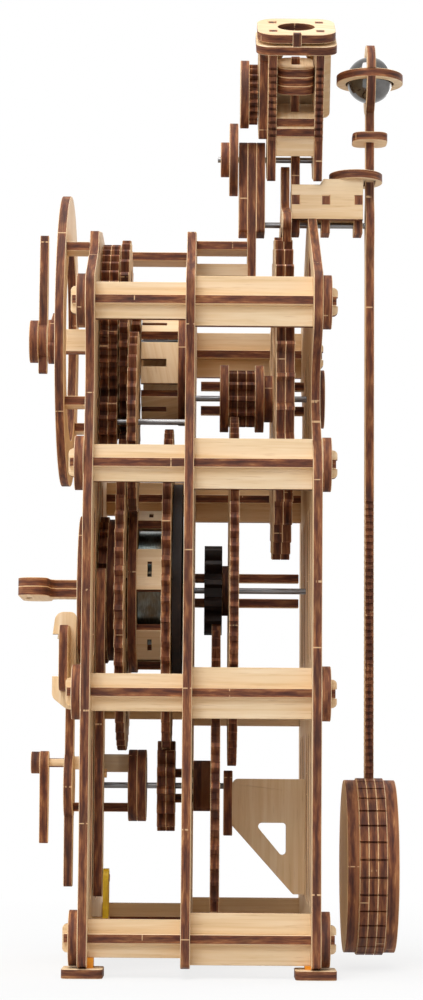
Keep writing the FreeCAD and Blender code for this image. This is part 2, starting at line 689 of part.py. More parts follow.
post_mid_y = post_y + PLY
tie = plate_xy([(TIE_X0 + 2, front_plate_y), (TIE_X1 - 2, front_plate_y),
                (TIE_X1 - 2, front_bay_y), (TIE_X1, front_bay_y), (TIE_X1, middle_plate_y),
                (TIE_X1 - 2, middle_plate_y), (TIE_X1 - 2, rear_bay_y),
                (TIE_X0 + 2, rear_bay_y), (TIE_X0 + 2, middle_plate_y),
                (TIE_X0, middle_plate_y), (TIE_X0, front_bay_y),
                (TIE_X0 + 2, front_bay_y)], TIE_Z)
h = BRIDGE_HALF
bridge = plate_xy([(2 - h, middle_plate_y), (h - 2, middle_plate_y), (h - 2, rear_bay_y),
                   (h, rear_bay_y), (h, post_mid_y), (h - 2, post_mid_y),
                   (h - 2, post_mid_y + PLY), (2 - h, post_mid_y + PLY),
                   (2 - h, post_mid_y), (-h, post_mid_y), (-h, rear_bay_y),
                   (2 - h, rear_bay_y)], BRIDGE_Z)
brace = box(-half_ply, half_ply, middle_plate_y, post_mid_y + PLY, BRACE_Z0, BRACE_Z1)

# The post of the head: three layers that hold the head's axle and the anchor's arbor

POST_HALF = 6.0
POST_LOW = PENDULUM_Z - 3.6
POST_MIDDLE_LOW = BRACE_Z0 - 3.0


def post_layer(y, low):
    r = POST_HALF - 0.01
    top = HEAD_Z + POST_HALF
    sheet = plate_xz([(-POST_HALF, low, 1), (POST_HALF, low, 1), (POST_HALF, top, r),
                      (-POST_HALF, top, r)], y)
    holes = [rod(0, HEAD_Z, ARBOR_R + RUN_FIT, y, y + PLY),
             rod(0, PENDULUM_Z, ARBOR_R + RUN_FIT, y, y + PLY)]
    return cut(sheet, holes)


post_layers = [post_layer(post_y, POST_LOW), post_layer(post_mid_y, POST_MIDDLE_LOW),
               post_layer(post_mid_y + PLY, POST_LOW)]
post_layers[1] = cut(post_layers[1], [
    box(2 - h, h - 2, post_mid_y, post_mid_y + PLY, BRIDGE_Z, BRIDGE_Z + PLY),
    box(-half_ply, half_ply, post_mid_y, post_mid_y + PLY, BRACE_Z0, BRACE_Z1)])
save("head_post", post_layers + [tie, bridge, brace])

# The bracket behind the top of the back plate: two cheeks and three cross plates

CHEEK_TOP = GABLE_Z + 12.0
CHEEK_BACK_TOP = CHEEK_TOP + 2.0
CROSS_LOW = PENDULUM_Z - 3.4
TENON_Z0, TENON_Z1 = PENDULUM_Z + 6.0, PENDULUM_Z + 9.2
cross_places = (bracket_y, bracket_mid_y, bracket_end_y)


def cheek(x):
    sheet = plate_yz([(bracket_y, GABLE_Z), (bracket_back_y, GABLE_Z),
                      (bracket_back_y, CHEEK_BACK_TOP), (bracket_mid_y + 0.6, CHEEK_BACK_TOP, 0.6),
                      (bracket_mid_y - 0.6, CHEEK_TOP, 0.5), (bracket_y, CHEEK_TOP)], x)
    return cut(sheet, [box(x - 1, x + PLY + 1, y, y + PLY, TENON_Z0, TENON_Z1)
                       for y in cross_places])


def cross_plate(y, low, top, hole_r):
    body = box(-BRACKET_INNER, BRACKET_INNER, y, y + PLY, low, top)
    tenon = box(-BRACKET_OUTER, BRACKET_OUTER, y, y + PLY, TENON_Z0, TENON_Z1)
    return body.fuse(tenon).removeSplitter().cut(rod(0, PENDULUM_Z, hole_r, y, y + PLY))


ear = cross_plate(bracket_y, CROSS_LOW, CHEEK_TOP, ARBOR_R + 0.5)
ear_stem = box(-3, 3, bracket_y, bracket_y + PLY, CHEEK_TOP, HEAD_Z)
ear_head = rod(0, HEAD_Z, 3.0, bracket_y, bracket_y + PLY)
ear = ear.fuse([ear_stem, ear_head]).removeSplitter()
ear = ear.cut(rod(0, HEAD_Z, ARBOR_R + RUN_FIT, bracket_y, bracket_y + PLY))
cross_plates = [ear, cross_plate(bracket_mid_y, CROSS_LOW, CHEEK_TOP, ARBOR_R + 0.5),
                cross_plate(bracket_end_y, CROSS_LOW, CHEEK_BACK_TOP, ARBOR_R + RUN_FIT)]
save("bracket_cheeks", [cheek(BRACKET_INNER), cheek(-BRACKET_OUTER)])

GUIDE_R = 9.2
guide_mid_y = rod_y - 3.3
rod_lift = (CHEEK_BACK_TOP + PLY - PENDULUM_Z) * math.tan(math.radians(PENDULUM_SWING))
guide_half = ROD_NECK_HALF + rod_lift + 0.4
guide = Part.makeCylinder(GUIDE_R, PLY, V(0, guide_mid_y, CHEEK_BACK_TOP), V(0, 0, 1))
guide = guide.cut(box(-guide_half, guide_half, rod_y - 0.4, rod_y + PLY + 0.4,
                      CHEEK_BACK_TOP - 1, CHEEK_BACK_TOP + PLY + 1))
save("bracket_plates", cross_plates + [guide])

# The bearing of the lower arbor: a gusset on the back plate with a plate in front

LOWER_BEARING_HALF = 8.0
gusset_y = lower_bearing_y + PLY
BEARING_TENON = (LOWER_Z - 11.5, LOWER_Z - 6.0)
GUSSET_FOOT = 36.0         # how far the gusset reaches down from the lower arbor
gusset = plate_yz([(gusset_y, LOWER_Z - 13.3, 1), (gusset_y, LOWER_Z + 2.5, 2),
                   (back_plate_y, LOWER_Z + 2.5), (back_plate_y, LOWER_Z - GUSSET_FOOT),
                   (back_plate_y - 4, LOWER_Z - GUSSET_FOOT, 1)], -half_ply)
gusset_hole_z = LOWER_Z - 12.2
gusset = gusset.cut(plate_yz([(gusset_y + 7.4, gusset_hole_z, 1.2),
                              (back_plate_y - 6.4, gusset_hole_z, 1.2),
                              (back_plate_y - 6.4, gusset_hole_z - 12.8, 1.2)], -half_ply))
for z0, z1 in GUSSET_TENONS:
    gusset = gusset.fuse(box(-half_ply, half_ply, back_plate_y, back_face_y, z0, z1))
gusset = gusset.fuse(box(-half_ply, half_ply, lower_bearing_y, gusset_y, *BEARING_TENON))
gusset = gusset.removeSplitter()
bh = LOWER_BEARING_HALF
low, high = LOWER_Z - 16.5, LOWER_Z + 5.2
lower_bearing = plate_xz([(-bh, low, 2), (bh, low, 2), (bh, high, 5), (-bh, high, 5)],
                         lower_bearing_y)
lower_bearing = cut(lower_bearing, [
    rod(0, LOWER_Z, ARBOR_R + RUN_FIT, lower_bearing_y, gusset_y),
    box(-half_ply, half_ply, lower_bearing_y, gusset_y, *BEARING_TENON)])
ESCAPE_BEARING_R = 10.0
escape_bearing = rod(0, ESCAPE_Z, ESCAPE_BEARING_R, back_face_y, back_face_y + PLY)
escape_bearing = escape_bearing.cut(rod(0, ESCAPE_Z, ARBOR_R + RUN_FIT, back_face_y,
                                        back_face_y + PLY))
save("rear_bearings", [gusset, lower_bearing, escape_bearing])

# Dial ring on four spacers

dial = rod(0, DIAL_Z, DIAL_R, dial_y, dial_y + PLY)
dial = cut(dial, [rod(0, DIAL_Z, DIAL_HOLE_R, dial_y, dial_y + PLY)]
           + [box(x - 3, x + 3, dial_y, dial_y + PLY, z - half_ply, z + half_ply)
              for x, z in dial_spacers])
save("dial_ring", [dial])


def dial_spacer(x, z):
    body = box(x - 5, x + 5, dial_y + PLY, front_plate_y, z - half_ply, z + half_ply)
    tenon = box(x - 3, x + 3, dial_y, front_bay_y, z - half_ply, z + half_ply)
    return body.fuse(tenon).removeSplitter()


save("dial_spacers", [dial_spacer(x, z) for x, z in dial_spacers])

# Bare front panel, held in the jaws of two hooks

HOOK_FRONT_Y = panel_y - 2.9
panel = slot(-PANEL_HALF_WIDTH, PANEL_HALF_WIDTH, PANEL_BOTTOM, PANEL_TOP, panel_y, 4)
JAW = 1.2                  # how deep the panel sits in each jaw


def panel_hook(x):
    back = panel_y + PLY + 2.0
    hook = plate_yz([
        (HOOK_FRONT_Y, BRACKET_FOOT_Z0 + 4, 3), (panel_y + 2, BRACKET_FOOT_Z0, 4),
        (front_plate_y, BRACKET_FOOT_Z0), (front_plate_y, BRACKET_FOOT_Z0 + 2),
        (front_bay_y, BRACKET_FOOT_Z0 + 2), (front_bay_y, BRACKET_FOOT_Z1 - 2),
        (front_plate_y, BRACKET_FOOT_Z1 - 2), (front_plate_y, BRACKET_FOOT_Z1),
        (back, BRACKET_FOOT_Z1 + 1, 1), (back, PANEL_TOP + 5, 2),
        (HOOK_FRONT_Y + 1, PANEL_TOP + 5, 3), (HOOK_FRONT_Y, PANEL_TOP - 2.5),
        (panel_y, PANEL_TOP - 2.5), (panel_y, PANEL_TOP - JAW), (panel_y, PANEL_TOP),
        (panel_y + PLY, PANEL_TOP), (panel_y + PLY, PANEL_BOTTOM), (panel_y, PANEL_BOTTOM),
        (panel_y, PANEL_BOTTOM + JAW), (panel_y, PANEL_BOTTOM + 5),
        (HOOK_FRONT_Y, PANEL_BOTTOM + 5)], x - half_ply)
    return hook


save("front_panel", [panel])
save("panel_hooks", [panel_hook(side * PANEL_BRACKET_X) for side in (1, -1)])

# Winding: key, front disc, arbor, ratchet and cover; the arbor is one turned piece

key_tenon_y = winding_disc_y + PLY
ks, kh = KEY_STEM_HALF, KEY_HALF_WIDTH
stem_y = winding_disc_y - KEY_STEM_LENGTH
key_outline = [(-ks, key_tenon_y), (-ks, stem_y, 3), (-kh, stem_y - 1, 4), (-kh, key_end_y, 5),
               (kh, key_end_y, 5), (kh, stem_y - 1, 4), (ks, stem_y, 3), (ks, key_tenon_y)]
key_slot = plate_xy([(-3, key_end_y + 2, 0.8), (3, key_end_y + 2, 0.8), (3, key_end_y + 4, 0.8),
                     (-3, key_end_y + 4, 0.8)], BARREL_Z - PLY, 2 * PLY)
key_layers = [plate_xy(key_outline, BARREL_Z - PLY).cut(key_slot),
              plate_xy(key_outline, BARREL_Z).cut(key_slot)]
save("winding_key", key_layers)
winding_disc = rod(0, BARREL_Z, WINDING_DISC_R, winding_disc_y, key_tenon_y)
winding_disc = winding_disc.cut(box(-ks, ks, winding_disc_y, key_tenon_y,
                                    BARREL_Z - PLY, BARREL_Z + PLY))
save("winding_disc", [winding_disc])
PIN_GAP = 0.2              # between the two arbors that meet in the middle plate
hub_end_y = great_y - FACE_GAP
winding_arbor = rod(0, BARREL_Z, WINDING_R, key_tenon_y, middle_plate_y - FACE_GAP)
winding_arbor = winding_arbor.fuse([
    rod(0, BARREL_Z, ARBOR_R, middle_plate_y - FACE_GAP, middle_plate_y + half_ply - PIN_GAP),
    rod(0, BARREL_Z, SPRING_HUB_R, drum_y + FACE_GAP, hub_end_y)]).removeSplitter()
save("winding_arbor", [winding_arbor])


RATCHET_LEAN = 0.12        # share of a tooth that its steep flank takes
RATCHET_TURN = 1.5         # degrees from level up to the tip that the click holds


def ratchet(y):
    """Hooked teeth whose steep flanks look down on the click's side."""
    step = 2 * math.pi / RATCHET_TEETH
    first = math.radians(RATCHET_TURN)
    points = []
    for i in range(RATCHET_TEETH):
        tip = first + i * step
        low = tip + RATCHET_LEAN * step
        root = RATCHET_R - RATCHET_DEPTH
        points.append((root * math.cos(low), BARREL_Z + root * math.sin(low)))
        points.append((RATCHET_R * math.cos(tip), BARREL_Z + RATCHET_R * math.sin(tip)))
    return plate_xz(points, y)


ratchet_wheel = ratchet(layer1_y)
ratchet_cover = rod(0, BARREL_Z, RATCHET_COVER_R, layer2_y, layer2_y + PLY)
save("ratchet_wheel", [ratchet_wheel.cut(rod(0, BARREL_Z, WINDING_R, layer1_y, layer1_y + PLY)),
                       ratchet_cover.cut(rod(0, BARREL_Z, WINDING_R, layer2_y, layer2_y + PLY))])

# Click lever that drops into the ratchet, its two pegs and the rubber bands

NOSE_X = RATCHET_R + 0.35
CLICK_HALF = 3.0
CLICK_LOW = CLICK_Z - 40.0
TAIL_PEG_Z = CLICK_Z - 34.0
click_right = CLICK_X + CLICK_HALF + 2
click = plate_xz([
    (CLICK_X - CLICK_HALF, CLICK_LOW, 2), (CLICK_X + CLICK_HALF, CLICK_LOW, 2),
    (CLICK_X + CLICK_HALF, CLICK_Z - 8, 4), (CLICK_X + 5.5, CLICK_Z, 4),
    (click_right, CLICK_Z + 12, 10), (NOSE_X + 7.6, BARREL_Z + 5, 2),
    (NOSE_X + 3.4, BARREL_Z + 5, 1), (NOSE_X + 2.6, BARREL_Z + 0.1),
    (NOSE_X, BARREL_Z + 0.45), (NOSE_X + 0.35, BARREL_Z - 0.25),
    (NOSE_X + 2.6, BARREL_Z - 2.6), (NOSE_X + 3.2, BARREL_Z - 12),
    (CLICK_X - CLICK_HALF + 2, CLICK_Z + 14, 10), (CLICK_X - 5.5, CLICK_Z, 4),
    (CLICK_X - CLICK_HALF, CLICK_Z - 8, 4)], layer1_y)
click = click.cut(rod(CLICK_X, CLICK_Z, half_ply + BORE_FIT, layer1_y, layer1_y + PLY))
tail_peg = rod(CLICK_X, TAIL_PEG_Z, 1.2, layer1_y, layer2_y + 2.4)
click = click.fuse(tail_peg).removeSplitter()
save("click_lever", [click])
save("frame_pegs", [rod(CLICK_X, CLICK_Z, half_ply, front_plate_y, layer2_y + 1),
                    rod(CLICK_X, BAND_PEG_Z, half_ply, front_plate_y, layer2_y + 2.4)])

BAND = 1.5                 # thickness of a rubber band


def click_band():
    """A slack loop round the click's tail peg and the peg below it."""
    y0, y1 = layer2_y + 0.3, layer2_y + 2.1
    inner = 3.2
    low, high = BAND_PEG_Z - half_ply, TAIL_PEG_Z + 1.2 + 0.3
    outer = BAND + inner
    loop = plate_xz([(CLICK_X - outer, low - BAND, 3), (CLICK_X + outer, low - BAND, 3),
                     (CLICK_X + outer, high + BAND, 3), (CLICK_X - outer, high + BAND, 3)],
                    y0, y1 - y0)
    hole = plate_xz([(CLICK_X - inner, low, 1.5), (CLICK_X + inner, low, 1.5),
                     (CLICK_X + inner, high, 1.5), (CLICK_X - inner, high, 1.5)],
                    y0, y1 - y0)
    return loop.cut(hole)


def foot_band(x, y, side):
    """A short band between a foot and the lowest beam, against the plate."""
    half = WEB_FRONT_HALF if side > 0 else WEB_REAR_HALF
    top = BEAM_LEVELS[0] - half
    inner = y + PLY if side > 0 else y - 1.9
    return box(x - 3.2, x + 3.2, inner, inner + 1.9, FOOT_HEIGHT, top)


foot_bands = [foot_band(s * BEAM_X, front_plate_y, 1) for s in (1, -1)]
foot_bands += [foot_band(s * BEAM_X, back_plate_y, -1) for s in (1, -1)]
save("rubber_bands", [click_band()] + foot_bands)

# Barrel: drive wheel, drum and great wheel, tied by the slats of the drum


def slat_turn(shape, i):
    turned = shape.copy()
    angle = -(SLAT_FIRST_ANGLE + 360.0 * i / DRUM_SLATS)
    turned.rotate(V(0, 0, BARREL_Z), V(0, 1, 0), angle)
    return turned


def slat(i):
    """One flat piece of the drum's wall, with long tenons through the wheels."""
    body = box(slat_r - half_ply, slat_r + half_ply, drum_y, great_y,
               BARREL_Z - SLAT_WIDTH / 2, BARREL_Z + SLAT_WIDTH / 2)
    tenon = box(slat_r - half_ply, slat_r + half_ply, layer3_y, drum_back_y + PLY,
                BARREL_Z - SLAT_TENON / 2, BARREL_Z + SLAT_TENON / 2)
    hole = box(slat_r - PLY, slat_r + PLY, drum_y + 3.6, drum_y + 5.0,
               BARREL_Z - 2.6, BARREL_Z + 2.6)
    return slat_turn(body.fuse(tenon).removeSplitter().cut(hole), i)


def slat_holes(y, thick=PLY):
    hole = box(slat_r - half_ply, slat_r + half_ply, y, y + thick,
               BARREL_Z - SLAT_TENON / 2, BARREL_Z + SLAT_TENON / 2)
    return [slat_turn(hole, i) for i in range(DRUM_SLATS)]


winding_bore = WINDING_R + BORE_FIT


def barrel_sheet(shape, y):
    return cut(shape, [rod(0, BARREL_Z, winding_bore, y, y + PLY)] + slat_holes(y))


drive_wheel = toothed(0, BARREL_Z, DRIVE_TEETH, drive_module, layer3_y, 90.0)
drive_wheel = barrel_sheet(drive_wheel, layer3_y)
drive_wheel = cut(drive_wheel, ring_of_holes(0, BARREL_Z, 10, 39.5, 7.5, layer3_y))
save("drive_wheel", [drive_wheel])
great_wheel = toothed(0, BARREL_Z, GREAT_TEETH, train_module, great_y, -90.0)
great_wheel = barrel_sheet(great_wheel, great_y)
great_wheel = cut(great_wheel, ring_of_holes(0, BARREL_Z, 10, 39.5, 7.5, great_y))
save("great_wheel", [great_wheel])
drum_front = barrel_sheet(rod(0, BARREL_Z, DRUM_R, layer4_y, layer4_y + PLY), layer4_y)
drum_back = barrel_sheet(rod(0, BARREL_Z, DRUM_R + 8, drum_back_y, drum_back_y + PLY), drum_back_y)
save("drum_caps", [drum_front, drum_back])
save("drum_slats", [slat(i) for i in range(DRUM_SLATS)])


def least_gap_of(inner_edge, outer_edge):
    """The least gap from one turn's outer edge to the next turn's inner edge, on points."""
    share = 24
    near = []
    for i, arc in enumerate(outer_edge[:-2]):
        here = arc.discretize(share + 1)
        above = inner_edge[i + 2].discretize(4 * share + 1)
        near.append(min((a - b).Length for a in here for b in above))
    return min(near)


def spiral_band():
    """The mainspring, a steel band wound in a spiral of half circles."""
    steps = 2 * SPRING_TURNS
    growth = (SPRING_OUTER_R - SPRING_INNER_R) / steps
    edges = {"in": [], "out": []}
    for key, offset in (("in", 0.0), ("out", SPRING_BAND)):
        for i in range(steps):
            r0 = SPRING_INNER_R + offset + growth * i
            r1 = r0 + growth
            s = 1 if i % 2 == 0 else -1
            mid = (r0 + r1) / 2
            shift = s * (r0 - r1) / 2
            start = V(s * r0, spring_y, BARREL_Z)
            end = V(-s * r1, spring_y, BARREL_Z)
            top = V(shift, spring_y, BARREL_Z + s * mid)
            edges[key].append(Part.Arc(start, top, end).toShape())
    first = Part.makeLine(V(SPRING_INNER_R, spring_y, BARREL_Z),
                          V(SPRING_INNER_R + SPRING_BAND, spring_y, BARREL_Z))
    last = Part.makeLine(V(SPRING_OUTER_R, spring_y, BARREL_Z),
                         V(SPRING_OUTER_R + SPRING_BAND, spring_y, BARREL_Z))
    wire = Part.Wire(Part.__sortEdges__(edges["in"] + [last] + edges["out"] + [first]))
    gap = least_gap_of(edges["in"], edges["out"])
    print("mainspring least gap to itself", round(gap, 2))
    return Part.Face(wire).extrude(V(0, DRUM_WIDTH - 2 * FACE_GAP, 0))


spring_y = drum_y + FACE_GAP
spring_tail = box(SPRING_OUTER_R, slat_r - half_ply, spring_y,
                  spring_y + DRUM_WIDTH - 2 * FACE_GAP, BARREL_Z - SPRING_BAND, BARREL_Z)
spring = slat_turn(spiral_band().fuse(spring_tail).removeSplitter(), 0)
save("mainspring", [spring])

# Lower arbor: pinion in the front bay, journal in the middle plate, wheel behind


def on_arbor(shape, x, z, y0, y1, r=ARBOR_R, pegs=True):
    """A layer with the hole for its arbor and for the two pegs."""
    tools = [rod(x, z, r, y0, y1)]
    if pegs:
        tools += peg_pair(x, z, y0, y1)
    return cut(shape, tools)


def layer_stack(count, y, make):
    return [make(y + i * PLY) for i in range(count)]


def lower_pinion_layer(y):
    leaf = toothed(0, LOWER_Z, LOWER_PINION_TEETH, train_module, y,
                   90.0 + 180.0 / LOWER_PINION_TEETH)
    return on_arbor(leaf, 0, LOWER_Z, y, y + PLY)


lower_pegs_y0 = lower_pinion_y
lower_pegs_y1 = lower_wheel_y + PLY
save("lower_arbor", [rod(0, LOWER_Z, ARBOR_R, front_plate_y, gusset_y - PIN_GAP)]
     + peg_pair(0, LOWER_Z, lower_pegs_y0, lower_pegs_y1))
save("lower_pinion", layer_stack(2, lower_pinion_y, lower_pinion_layer))
lower_wheel = toothed(0, LOWER_Z, LOWER_WHEEL_TEETH, train_module, lower_wheel_y, 90.0)
lower_wheel = on_arbor(lower_wheel, 0, LOWER_Z, lower_wheel_y, lower_wheel_y + PLY)
lower_wheel = cut(lower_wheel, ring_of_holes(0, LOWER_Z, 8, 31, 10, lower_wheel_y))
middle_journal = on_arbor(rod(0, LOWER_Z, MIDDLE_JOURNAL_R, middle_plate_y, rear_bay_y),
                          0, LOWER_Z, middle_plate_y, rear_bay_y)
lower_spacer = on_arbor(rod(0, LOWER_Z, 8.5, rear_bay_y + FACE_GAP, lower_wheel_y),
                        0, LOWER_Z, rear_bay_y + FACE_GAP, lower_wheel_y)
save("lower_wheel", [lower_wheel, middle_journal, lower_spacer])

# Rear arbor: black pinion, block and large wheel

rear_arbor_y0 = middle_plate_y + half_ply + PIN_GAP
rear_pegs_y0 = rear_bay_y + FACE_GAP
rear_pegs_y1 = back_plate_y - 2.5


def rear_pinion_layer(y):
    leaf = toothed(0, BARREL_Z, REAR_PINION_TEETH, train_module, y,
                   -90.0 + 180.0 / REAR_PINION_TEETH)
    return on_arbor(leaf, 0, BARREL_Z, y, y + PLY)


save("rear_arbor", [rod(0, BARREL_Z, ARBOR_R, rear_arbor_y0, back_face_y)]
     + peg_pair(0, BARREL_Z, rear_pegs_y0, rear_pegs_y1))
save("rear_pinion", layer_stack(2, rear_pinion_y, rear_pinion_layer))
rear_wheel = toothed(0, BARREL_Z, REAR_WHEEL_TEETH, escape_module, rear_wheel_y, 90.0)
rear_wheel = on_arbor(rear_wheel, 0, BARREL_Z, rear_wheel_y, rear_wheel_y + PLY)
rear_wheel = cut(rear_wheel, ring_of_holes(0, BARREL_Z, 8, 34, 11, rear_wheel_y))
rear_block = on_arbor(rod(0, BARREL_Z, 8.5, rear_block_y, rear_wheel_y),
                      0, BARREL_Z, rear_block_y, rear_wheel_y)
save("rear_wheel", [rear_wheel, rear_block])

# Escape arbor: flanged pinion and a double escape wheel

FLANGE_R = 11.5
escape_arbor_y1 = back_face_y + PLY
escape_pegs_y0 = rear_bay_y + 1.8
escape_pegs_y1 = back_plate_y - 0.9


def escape_pinion_layer(y):
    leaf = toothed(0, ESCAPE_Z, ESCAPE_PINION_TEETH, escape_module, y,
                   -90.0 + 180.0 / ESCAPE_PINION_TEETH)
    return on_arbor(leaf, 0, ESCAPE_Z, y, y + PLY)


def escape_disc(r, y, thick=PLY):
    return on_arbor(rod(0, ESCAPE_Z, r, y, y + thick), 0, ESCAPE_Z, y, y + thick)


def escape_layer(y):
    """One layer of the escape wheel, with slim pointed teeth that lean forward."""
    points = []
    root = ESCAPE_R - ESCAPE_TOOTH_DEPTH
    for i in range(ESCAPE_TEETH):
        top = math.pi / 2 - 2 * math.pi * i / ESCAPE_TEETH
        profile = [(root, ESCAPE_BACK_HALF / root), (ESCAPE_R, ESCAPE_TIP_HALF / ESCAPE_R),
                   (ESCAPE_R, -ESCAPE_TIP_HALF / ESCAPE_R), (root, -ESCAPE_LEAD_HALF / root)]
        for r, a in profile:
            points.append((r * math.cos(top + a), ESCAPE_Z + r * math.sin(top + a)))
    wheel = on_arbor(plate_xz(points, y), 0, ESCAPE_Z, y, y + PLY)
    return cut(wheel, ring_of_holes(0, ESCAPE_Z, 8, 29, 9.5, y))


save("escape_arbor", [rod(0, ESCAPE_Z, ARBOR_R, middle_plate_y, escape_arbor_y1)]
     + peg_pair(0, ESCAPE_Z, escape_pegs_y0, escape_pegs_y1))
save("escape_pinion", layer_stack(3, escape_pinion_y, escape_pinion_layer)
     + [escape_disc(FLANGE_R, escape_flange_y), escape_disc(FLANGE_R, escape_rear_flange_y),
        escape_disc(8.0, escape_rear_flange_y + PLY, ESCAPE_BLOCK)])
save("escape_wheel", layer_stack(2, escape_wheel_y, escape_layer))

# Motion work: minute wheel with cannon pinion, motion wheel with pinion, hour wheel

cannon_module = module_of(MOTION_DISTANCE, CANNON_TEETH, MOTION_WHEEL_TEETH)
hour_module = module_of(MOTION_DISTANCE, MOTION_PINION_TEETH, HOUR_TEETH)
motion_angle = math.degrees(math.atan2(MOTION_Z - DIAL_Z, MOTION_X))

minute_arbor = rod(0, DIAL_Z, ARBOR_R, minute_boss_y, rear_bay_y)
save("minute_arbor", [minute_arbor])


def on_rod(shape, x, z, y):
    return shape.cut(rod(x, z, ARBOR_R, y, y + PLY))


minute_wheel = toothed(0, DIAL_Z, MINUTE_TEETH, drive_module, layer3_y,
                       -90.0 + 180.0 / MINUTE_TEETH)
minute_wheel = cut(on_rod(minute_wheel, 0, DIAL_Z, layer3_y),
                   ring_of_holes(0, DIAL_Z, 6, 19, 6.5, layer3_y))
cannon = toothed(0, DIAL_Z, CANNON_TEETH, cannon_module, layer4_y,
                 motion_angle + 180.0 / CANNON_TEETH)
save("minute_wheels", [minute_wheel, on_rod(cannon, 0, DIAL_Z, layer4_y)])
motion_wheel = toothed(MOTION_X, MOTION_Z, MOTION_WHEEL_TEETH, cannon_module, layer4_y,
                       motion_angle + 180.0)
motion_wheel = cut(on_rod(motion_wheel, MOTION_X, MOTION_Z, layer4_y),
                   ring_of_holes(MOTION_X, MOTION_Z, 6, 16, 5.5, layer4_y))
save("motion_wheel", [motion_wheel])


def motion_pinion_layer(y):
    leaf = toothed(MOTION_X, MOTION_Z, MOTION_PINION_TEETH, hour_module, y,
                   motion_angle + 180.0 + 180.0 / MOTION_PINION_TEETH)
    return on_rod(leaf, MOTION_X, MOTION_Z, y)


save("motion_pinion", layer_stack(2, layer1_y, motion_pinion_layer)
     + [rod(MOTION_X, MOTION_Z, ARBOR_R, front_plate_y, rear_bay_y)])

pipe_bore = ARBOR_R + BORE_FIT
half_pipe = PIPE_SIDE / 2
pipe_end_y = layer2_y + PLY


def pipe_hole(y):
    return box(-half_pipe, half_pipe, y, y + PLY, DIAL_Z - half_pipe, DIAL_Z + half_pipe)


hour_pipe = box(-half_pipe, half_pipe, hour_hand_y, pipe_end_y, DIAL_Z - half_pipe,
                DIAL_Z + half_pipe)
save("hour_pipe", [hour_pipe.cut(rod(0, DIAL_Z, pipe_bore, hour_hand_y, pipe_end_y))])


def hour_layer(y):
    sheet = toothed(0, DIAL_Z, HOUR_TEETH, hour_module, y, motion_angle).cut(pipe_hole(y))
    return cut(sheet, ring_of_holes(0, DIAL_Z, 6, 18, 6.5, y))


save("hour_wheel", layer_stack(2, layer1_y, hour_layer))


# Hands

def hand(y, length, tail, hub, width):
    """A tapered hand that points up, with a round hub and a short tail."""
    blade = plate_xz([(-width / 2, DIAL_Z - tail, 1), (width / 2, DIAL_Z - tail, 1),
                      (width / 2 + 0.6, DIAL_Z + length * 0.45, 4),
                      (0.8, DIAL_Z + length, 0.7), (-0.8, DIAL_Z + length, 0.7),
                      (-width / 2 - 0.6, DIAL_Z + length * 0.45, 4)], y)
    return blade.fuse(rod(0, DIAL_Z, hub, y, y + PLY)).removeSplitter()


HOUR_HAND_ANGLE = 300.0    # degrees clockwise from twelve
minute_hand = on_rod(hand(minute_hand_y, MINUTE_HAND_LENGTH, 11.0, 6.0, 4.0),
                     0, DIAL_Z, minute_hand_y)
minute_boss = on_rod(rod(0, DIAL_Z, 7.3, minute_boss_y, minute_hand_y), 0, DIAL_Z, minute_boss_y)
save("minute_hand", [minute_hand, minute_boss])
hour_hand = hand(hour_hand_y, HOUR_HAND_LENGTH, 9.0, 7.6, 5.0)
hour_hand.rotate(V(0, 0, DIAL_Z), V(0, 1, 0), HOUR_HAND_ANGLE)
save("hour_hand", [hour_hand.cut(pipe_hole(hour_hand_y))])

# Stop lever: journal in the front plate, hub and long arm in front, discs behind

STOP_DISC_R = 12.0
crank_z = LOWER_Z + CRANK_OFFSET
low_peg_z = LOWER_Z - CRANK_OFFSET
stop_end_y = stop_disc_y + 2 * PLY
crank_bar = box(-half_ply, half_ply, stop_lever_y, stop_end_y, crank_z - 2.2, crank_z + 2.2)
crank_web = box(-half_ply, half_ply, front_bay_y + FACE_GAP, stop_disc_y,
                crank_z - 3.0, crank_z + 3.0)
crank_pin = rod(0, crank_z, half_ply, pointer_boss_y, stop_lever_y)
crank = crank_bar.fuse([crank_web, crank_pin]).removeSplitter()
low_bar = box(-half_ply, half_ply, stop_lever_y, stop_end_y, low_peg_z - half_ply,
              low_peg_z + half_ply)


def stop_layer(shape, y, hole_r):
    tools = [rod(0, LOWER_Z, hole_r, y, y + PLY),
             box(-half_ply, half_ply, y, y + PLY, crank_z - 2.2, crank_z + 2.2),
             box(-half_ply, half_ply, y, y + PLY, low_peg_z - half_ply, low_peg_z + half_ply)]
    return cut(shape, tools)


stop_bore = ARBOR_R + BORE_FIT
stop_discs = [stop_layer(rod(0, LOWER_Z, JOURNAL_R, front_plate_y, front_bay_y), front_plate_y, stop_bore)]
for y in (stop_disc_y, stop_disc_y + PLY):
    stop_discs.append(stop_layer(rod(0, LOWER_Z, STOP_DISC_R, y, y + PLY), y, stop_bore))
save("stop_hub", stop_discs + [crank, low_bar])
arm = plate_xz([(-2.6, LOWER_Z - STOP_DOWN, 2), (2.6, LOWER_Z - STOP_DOWN, 2),
                (3.6, LOWER_Z, 6), (2.4, LOWER_Z + STOP_UP, 2), (-2.4, LOWER_Z + STOP_UP, 2),
                (-3.6, LOWER_Z, 6)], stop_lever_y)
arm = arm.fuse(rod(0, LOWER_Z, 11.0, stop_lever_y, stop_lever_y + PLY)).removeSplitter()
save("stop_lever", [stop_layer(arm, stop_lever_y, ARBOR_R + 0.4)])
POINTER_LENGTH = 27.0
pointer = plate_xz([(-1.7, crank_z - POINTER_LENGTH, 1), (1.7, crank_z - POINTER_LENGTH, 1),
                    (3.4, crank_z, 2), (0, crank_z + 4.1, 2), (-3.4, crank_z, 2)], pointer_y)
pointer = pointer.fuse(rod(0, crank_z, 3.9, pointer_y, pointer_y + PLY)).removeSplitter()
pointer_boss = rod(0, crank_z, 3.7, pointer_boss_y, pointer_y)
